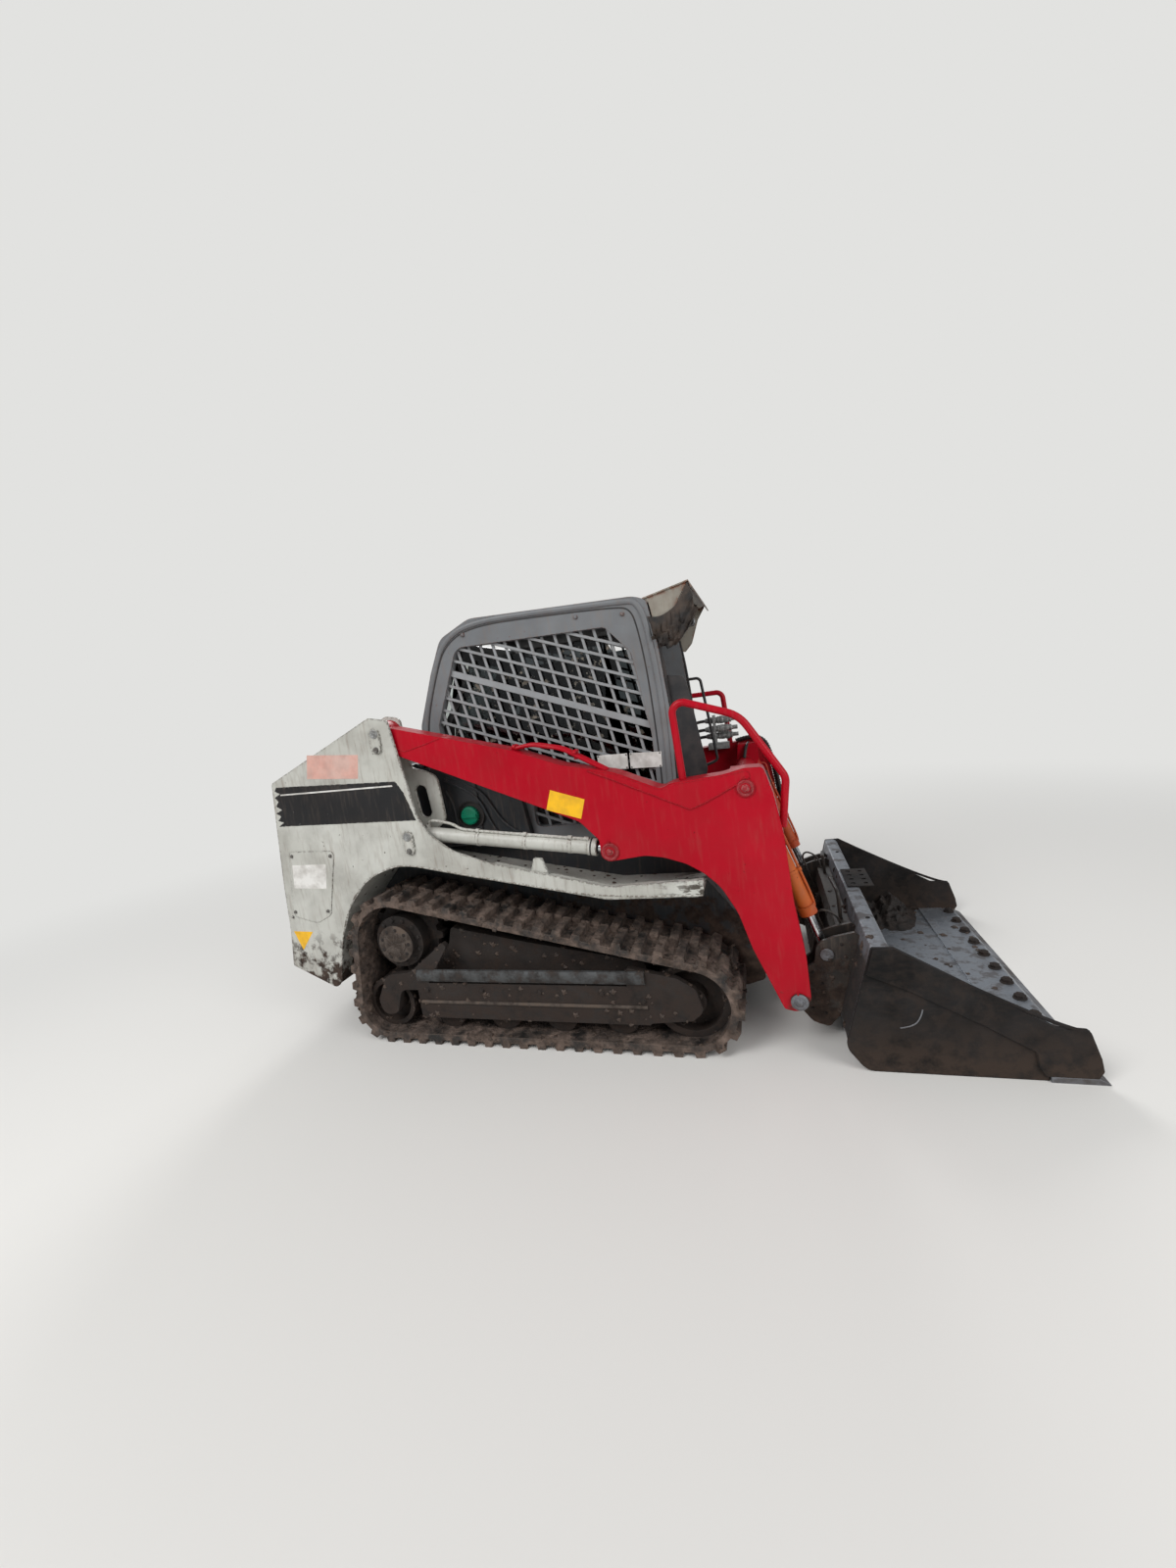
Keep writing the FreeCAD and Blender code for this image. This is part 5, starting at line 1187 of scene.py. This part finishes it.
# %% Couplers and cross tube
COUPLERS = ((578, 1220), (535, 1264), (566, 1314))
COLLAR = [(19, 0), (22.5, 2), (22.5, 8), (20.5, 10), (20.5, 13), (23, 15), (23, 34), (21, 36), (21, 39),
          (23, 41), (23, 60), (20, 63), (19, 63)]
build("coupler_collars", [part for y, z in COUPLERS for part in (
    (turned, COLLAR, (452, y, z), (1, 0, 0), 26),
    (turned, [(20.6, 0), (20.6, 3), (17, 5), (13.2, 5.5), (12.6, 12)], (527, y, z), (1, 0, 0), 26),
    (turned, [(17, 0), (17, 14), (12, 18), (12, 22)], (400, y, z), (-1, 0, 0), 6))],
    plated_steel, "arms", "coupling_steel")
build("coupler_hoses", [
    (pipe, [(384, y, z), (350, y, z), (318, y, z - 8), (296, y, z - 50), (290, y, min(z - 90, 1172)),
            (292, y, 1140)], 9.5, 6) for y, z in COUPLERS], hose_rubber, *ARM_TRIM)
weld("cross_tube_welds", [circle(592, y, 1040, 54) for y in (-448, -465, 448, 465)],
     bright_red, *ARM_SKIN, 4.5, 5)
print("arms and engine side dressed")

# %% [markdown]
# ## Undercarriage
# The drive cap, the hubs and the track frame are bolted cast and pressed iron under dried mud.
# Mud lies in clods on the lugs, on the ledges and on everything low.

# %% Undercarriage
DRIVE_X, DRIVE_Z = -1062, 498
IDLER_TURNS = (0.5, 1.55, 2.6, 3.65, 4.7, 5.75)
DRIVE_CAP = [(92, -1), (92, 2), (86, 6), (58, 7.5), (54, 12), (38, 15), (20, 16), (12, 13)]
SPOKES = []
for i in range(5):
    turn = 2 * math.pi * i / 5
    SPOKES.append([(DRIVE_X + math.cos(turn) * r - math.sin(turn) * w,
                    DRIVE_Z + math.sin(turn) * r + math.cos(turn) * w)
                   for r, w in ((14, -6), (60, -9), (60, 9), (14, 6))])
LENGTHS = (-972, -600, -200, 136)
# the lip over the rollers belongs to the casting; the frame's top edge is a round tube, rubbed and wet, in a
# lighter grey that is partly a painted sheen
build_pair("drive_cap_casting_", [
    (turned, DRIVE_CAP, (DRIVE_X, 716.6, DRIVE_Z), OUT, 44)] + [(plate, spoke, 720, 733) for spoke in SPOKES]
    + [(moulding, [(x, 206) for x in LENGTHS], half_round(16, 8), 718)], dried_mud_iron, *RUNNING_GEAR)
build_pair("frame_tube_", [(moulding, [(x, 340) for x in LENGTHS], half_round(62, 16), 717)],
           wet_iron_painted_sheen, *RUNNING_GEAR)
for label, side in SIDES:
    bolts("undercarriage_bolts_" + label, [
        (circle(DRIVE_X, 717, DRIVE_Z, 72, 9)[:9], OUT, 1.0),
        (circle(DRIVE_X, 685, DRIVE_Z, 110, 12, 0.2)[:12], OUT, 1.0),
        ([(318 + 38 * math.cos(turn), 635, 220 + 38 * math.sin(turn)) for turn in IDLER_TURNS], OUT, 0.8),
        ([(-930, 718, 268), (-640, 718, 268), (-350, 718, 268), (-60, 718, 268), (120, 718, 236)], OUT, 1.1)],
        muddy_iron, *RUNNING_GEAR, 21, side)
    weld("track_frame_welds_" + label, [[(-960, 670.5, 306), (-951, 670.5, 309)],
                                        [(60, 719, 300), (60, 719, 378)]],
         muddy_iron, *RUNNING_GEAR, 4, 5, side)
    # nodes, clods a square metre, patches a metre, smallest and largest in mm, lowest height, seed
    mud("track_mud_" + label, ["track_" + label], 700, 7.0, 4, 15, 34, 31, "chassis", "rubber_track")
    mud("frame_mud_" + label, ["track_frame_" + label, "track_wheels_" + label], 650, 6.0, 4, 15, 60, 32,
        *RUNNING_GEAR)
    mud("tower_mud_" + label, ["fender_deck_" + label], 260, 6.0, 4, 12, 100, 34, *TOWER_SKIN)

# %% [markdown]
# ## Bucket and hitch
# The floor is polished by soil up to the cutting edge and the sides stay black and dirty. The
# edge is held by a row of flush bolts packed with mud. The last load left a heap of soil in the
# far corner, against the side and on the floor.

# %% Bucket
SIDE_SEAM = [(1014, 480), (1122, 334), (1357, 206), (1512, 112), (1519, 56), (1538, 24)]
FLOOR_SEAM = [(1490, 42), (1300, 33), (1000, 33), (936, 70), (920, 110), (968, 300), (1012, 440)]
bolts("edge_bolts", [([(1642, 138 * k, 40) for k in range(-5, 6)], UP, 2.3)],
      muddy_iron, "bucket", "edge_steel", 41)
weld("bucket_welds", [[(x, side * y, z) for x, z in line] for side in BOTH
                      for line, y in ((SIDE_SEAM, 767.5), (FLOOR_SEAM, 753))]
     + [[(1050, y, 439) for y in range(-740, 741, 40)]], bucket_black, *BUCKET_SKIN, 4.5, 6)
build("bucket_rims", [(turned, [(9, -1), (9, 3), (5, 4)], (1046, 480, 494), UP, 6),
                      (moulding, [(1080, 489), (1574, 199), (1664, 192)], half_round(14, 5), 770)],
      bucket_black, *BUCKET_SKIN, BOTH)
build("side_scratch", [(moulding, [(1089, 182), (1133, 189), (1160, 226), (1166, 257)],
                        half_round(5, 0.7, 0.5), 767)], edge_steel, *BUCKET_SKIN, (-1,))
mud("bucket_mud", ["bucket_shell"], 90, 5.0, 5, 20, 30, 43, *BUCKET_SKIN)

# %% Soil left in the bucket
HEAP_X, HEAP_Y, HEAP_TOP, FLOOR_TOP = (1000, 1490), (400, 755.4), 200, 31
STEPS_X, STEPS_Y = 84, 60
shape = bmesh.new()
rows = []
for i in range(STEPS_X + 1):
    x = HEAP_X[0] + (HEAP_X[1] - HEAP_X[0]) * i / STEPS_X
    row = []
    for j in range(STEPS_Y + 1):
        y = HEAP_Y[0] + (HEAP_Y[1] - HEAP_Y[0]) * j / STEPS_Y
        wander = turbulence(Vector((x / 90, 0.3, 2.0)), 3, False) * 0.5
        rise = math.exp(-abs((x - 1235) / 175) ** 3) * (j / STEPS_Y) ** 1.2 * (0.55 + wander) - 0.04
        rise = max(0, rise)
        crumbs = turbulence(Vector((x / 34, y / 34, 0.5)), 4, False) * 34 * min(1.0, rise * 5)
        edge = i in (0, STEPS_X) or j == 0
        row.append(shape.verts.new(metres(x, y, FLOOR_TOP - 1 + (0 if edge else rise * HEAP_TOP + crumbs))))
    rows.append(row)
for i in range(STEPS_X):
    for j in range(STEPS_Y):
        shape.faces.new((rows[i][j], rows[i + 1][j], rows[i + 1][j + 1], rows[i][j + 1]))
foot = [shape.verts.new(metres(HEAP_X[a], HEAP_Y[b], FLOOR_TOP - 1.6)) for a, b in ((0, 0), (1, 0), (1, 1), (0, 1))]
shape.faces.new(foot)
for edge, start, end in (([row[0] for row in rows], 0, 1), ([row[-1] for row in rows], 3, 2),
                         (rows[0], 0, 3), (rows[-1], 1, 2)):
    shape.faces.new(edge + [foot[end], foot[start]])
bmesh.ops.triangulate(shape, faces=[face for face in shape.faces if len(face.verts) > 4])
piece("corner_soil", shape, dark_soil, *BUCKET_SKIN)

# %% Hitch
SPRING_ROD = [(905, 395, 330), (888, 400, 372), (872, 412, 440), (852, 430, 498), (880, 440, 520),
              (930, 436, 492), (952, 420, 440), (946, 400, 400)]
build("hitch_pin_caps", [
    (turned, [(34, 0), (34, 3), (28, 6), (24, 6), (22, 3), (13, 3), (11, 8), (6, 9)],
     (749, 687.6, 229), OUT, 30),
    (turned, [(26, -5), (26, 0.8), (24.6, 1.6), (9, 1.6), (8, 0.8)], (872, 577.4, 378), OUT, 26)],
    edge_steel, *BUCKET_SKIN, BOTH)
bolts("hitch_bolts", [([(x, side * 572, z) for x, z in ((812, 300), (846, 250), (800, 140), (850, 120),
                                                        (930, 420))], (0, side, 0), 0.6) for side in BOTH],
      muddy_iron, *BUCKET_SKIN, 44)
build("hitch_springs", [(pipe, SPRING_ROD, 5, 8)] + [
    (turned, [(17, 0), (20, 3), (17, 6)], (902 + 1.6 * i, 250, 200 + 16 * i), (0.27, 0, 0.96), 16)
    for i in range(9)], hitch_paint, *BUCKET_SKIN, BOTH)
mud("hitch_mud", ["hitch"], 420, 7.0, 4, 14, 40, 45, *BUCKET_SKIN)

# %% Tilt cylinders
tilt_way, _, by_tilt = beside(Vector((620, 0, 1110)), Vector((872, 0, 378)))
TILT_LINE = [(84, 30), (90, 54), (130, 50), (170, 41), (400, 41), (560, 41), (586, 34)]
build("tilt_lines", [(pipe, [by_tilt(*spot, 515) for spot in TILT_LINE], 6.5, 6)] + [
    part for distance in (220, 420) for part in (
        (turned, [(34.2, -8), (35.4, -7), (35.4, 7), (34.2, 8)], by_tilt(distance, 0, 515), tilt_way, 36),
        (turned, [(9.5, -8), (9.5, 8)], by_tilt(distance, 41, 515), tilt_way, 14))] + [
    (turned, [(38.5, -3), (39, -2), (39, 2), (38.5, 3)], by_tilt(574, 0, 515), tilt_way, 36)],
    rusted_orange, "tilt_barrel", "rusty_paint", BOTH)

# %% Roof and deck
bolts("roof_bolts", [([(x, y, z) for x, z in ((-540, 1965.5), (-150, 1946.5), (210, 1929))
                       for y in (-340, 340)], (0.05, 0, 1), 0.66)], cab_grey, *CAB_SKIN, 51)
build("roof_ribs", [(moulding, [(-520, 1963.5), (-150, 1946), (190, 1929.6)],
                     [(-1, -34), (2.5, -28), (2.5, 28), (-1, 34)], y) for y in (-255, -85, 85, 255)],
      cab_grey, *CAB_SKIN)
bolts("deck_bolts", [([(x, y, 890) for y in (-640, 640) for x in (-1560, -1400, -1240)], UP, 1.0)],
      zinc_bolt, *TOWER_SKIN, 52)
total = sum(len(face.vertices) - 2 for obj in bpy.data.objects if obj.type == "MESH" and obj.name not in nodes
            for face in obj.data.polygons)
print("triangles added:", total)

# %% [markdown]
# ## Floor and light
# A plain pale floor and three large soft lamps, as in a studio, so that the finishes are seen
# and not the weather.

# %% Floor and light
PALE = linear("#e2e2e0")
floor_mesh = bpy.data.meshes.new("studio_floor")
floor_mesh.from_pydata([(-30, -30, 0), (30, -30, 0), (30, 30, 0), (-30, 30, 0)], [], [(0, 1, 2, 3)])
floor = link("studio_floor", floor_mesh)
floor_material, tree, shader, place = new_material("pale_studio_floor")
plug(tree, shader, {"Base Color": "#dedcd8", "Roughness": 0.9})
# far from the machine the floor fades into the pale backdrop, for the camera alone
away = add(tree, "ShaderNodeVectorMath", {0: place}, operation="LENGTH").outputs["Value"]
far = grade(tree, away, 2.6, 7.5, interpolation_type="SMOOTHSTEP")
seen = add(tree, "ShaderNodeLightPath").outputs["Is Camera Ray"]
glow = add(tree, "ShaderNodeEmission", {"Color": PALE, "Strength": 1.0}).outputs["Emission"]
mixed = add(tree, "ShaderNodeMixShader", {"Fac": calculate(tree, "MULTIPLY", far, seen),
                                          1: shader.outputs["BSDF"], 2: glow})
plug(tree, tree.nodes["Material Output"], {"Surface": mixed.outputs["Shader"]})
floor_mesh.materials.append(floor_material)

LAMPS = [
    # name, place, aimed at, power in watts
    ("key", (-3.5, -6.0, 6.5), (0, 0, 0.8), 430),
    ("fill", (6.0, -4.5, 4.0), (0.3, 0, 0.6), 230),
    ("back", (-2.0, 7.0, 6.0), (0, 0, 1.0), 300),
]
LAMP_WIDTH = 4.0
for name, place, target, watts in LAMPS:
    light = bpy.data.lights.new(name, "AREA")
    light.size = LAMP_WIDTH
    light.energy = watts
    lamp = link(name, light)
    lamp.location = place
    lamp.rotation_euler = (Vector(target) - Vector(place)).to_track_quat("-Z", "Y").to_euler()
world = bpy.data.worlds.new("soft_sky")
world.use_nodes = True
tree = world.node_tree
sky = tree.nodes["Background"]
plug(tree, sky, {"Color": "#e9ecef", "Strength": 0.5})
backdrop = add(tree, "ShaderNodeBackground", {"Color": PALE, "Strength": 1.0}).outputs["Background"]
rays = add(tree, "ShaderNodeLightPath").outputs
direct = calculate(tree, "MAXIMUM", rays["Is Camera Ray"], rays["Is Transmission Ray"])
chosen = add(tree, "ShaderNodeMixShader", {"Fac": direct, 1: sky.outputs["Background"], 2: backdrop})
plug(tree, tree.nodes["World Output"], {"Surface": chosen.outputs["Shader"]})
bpy.context.scene.world = world
bpy.context.scene.view_settings.view_transform = "Standard"
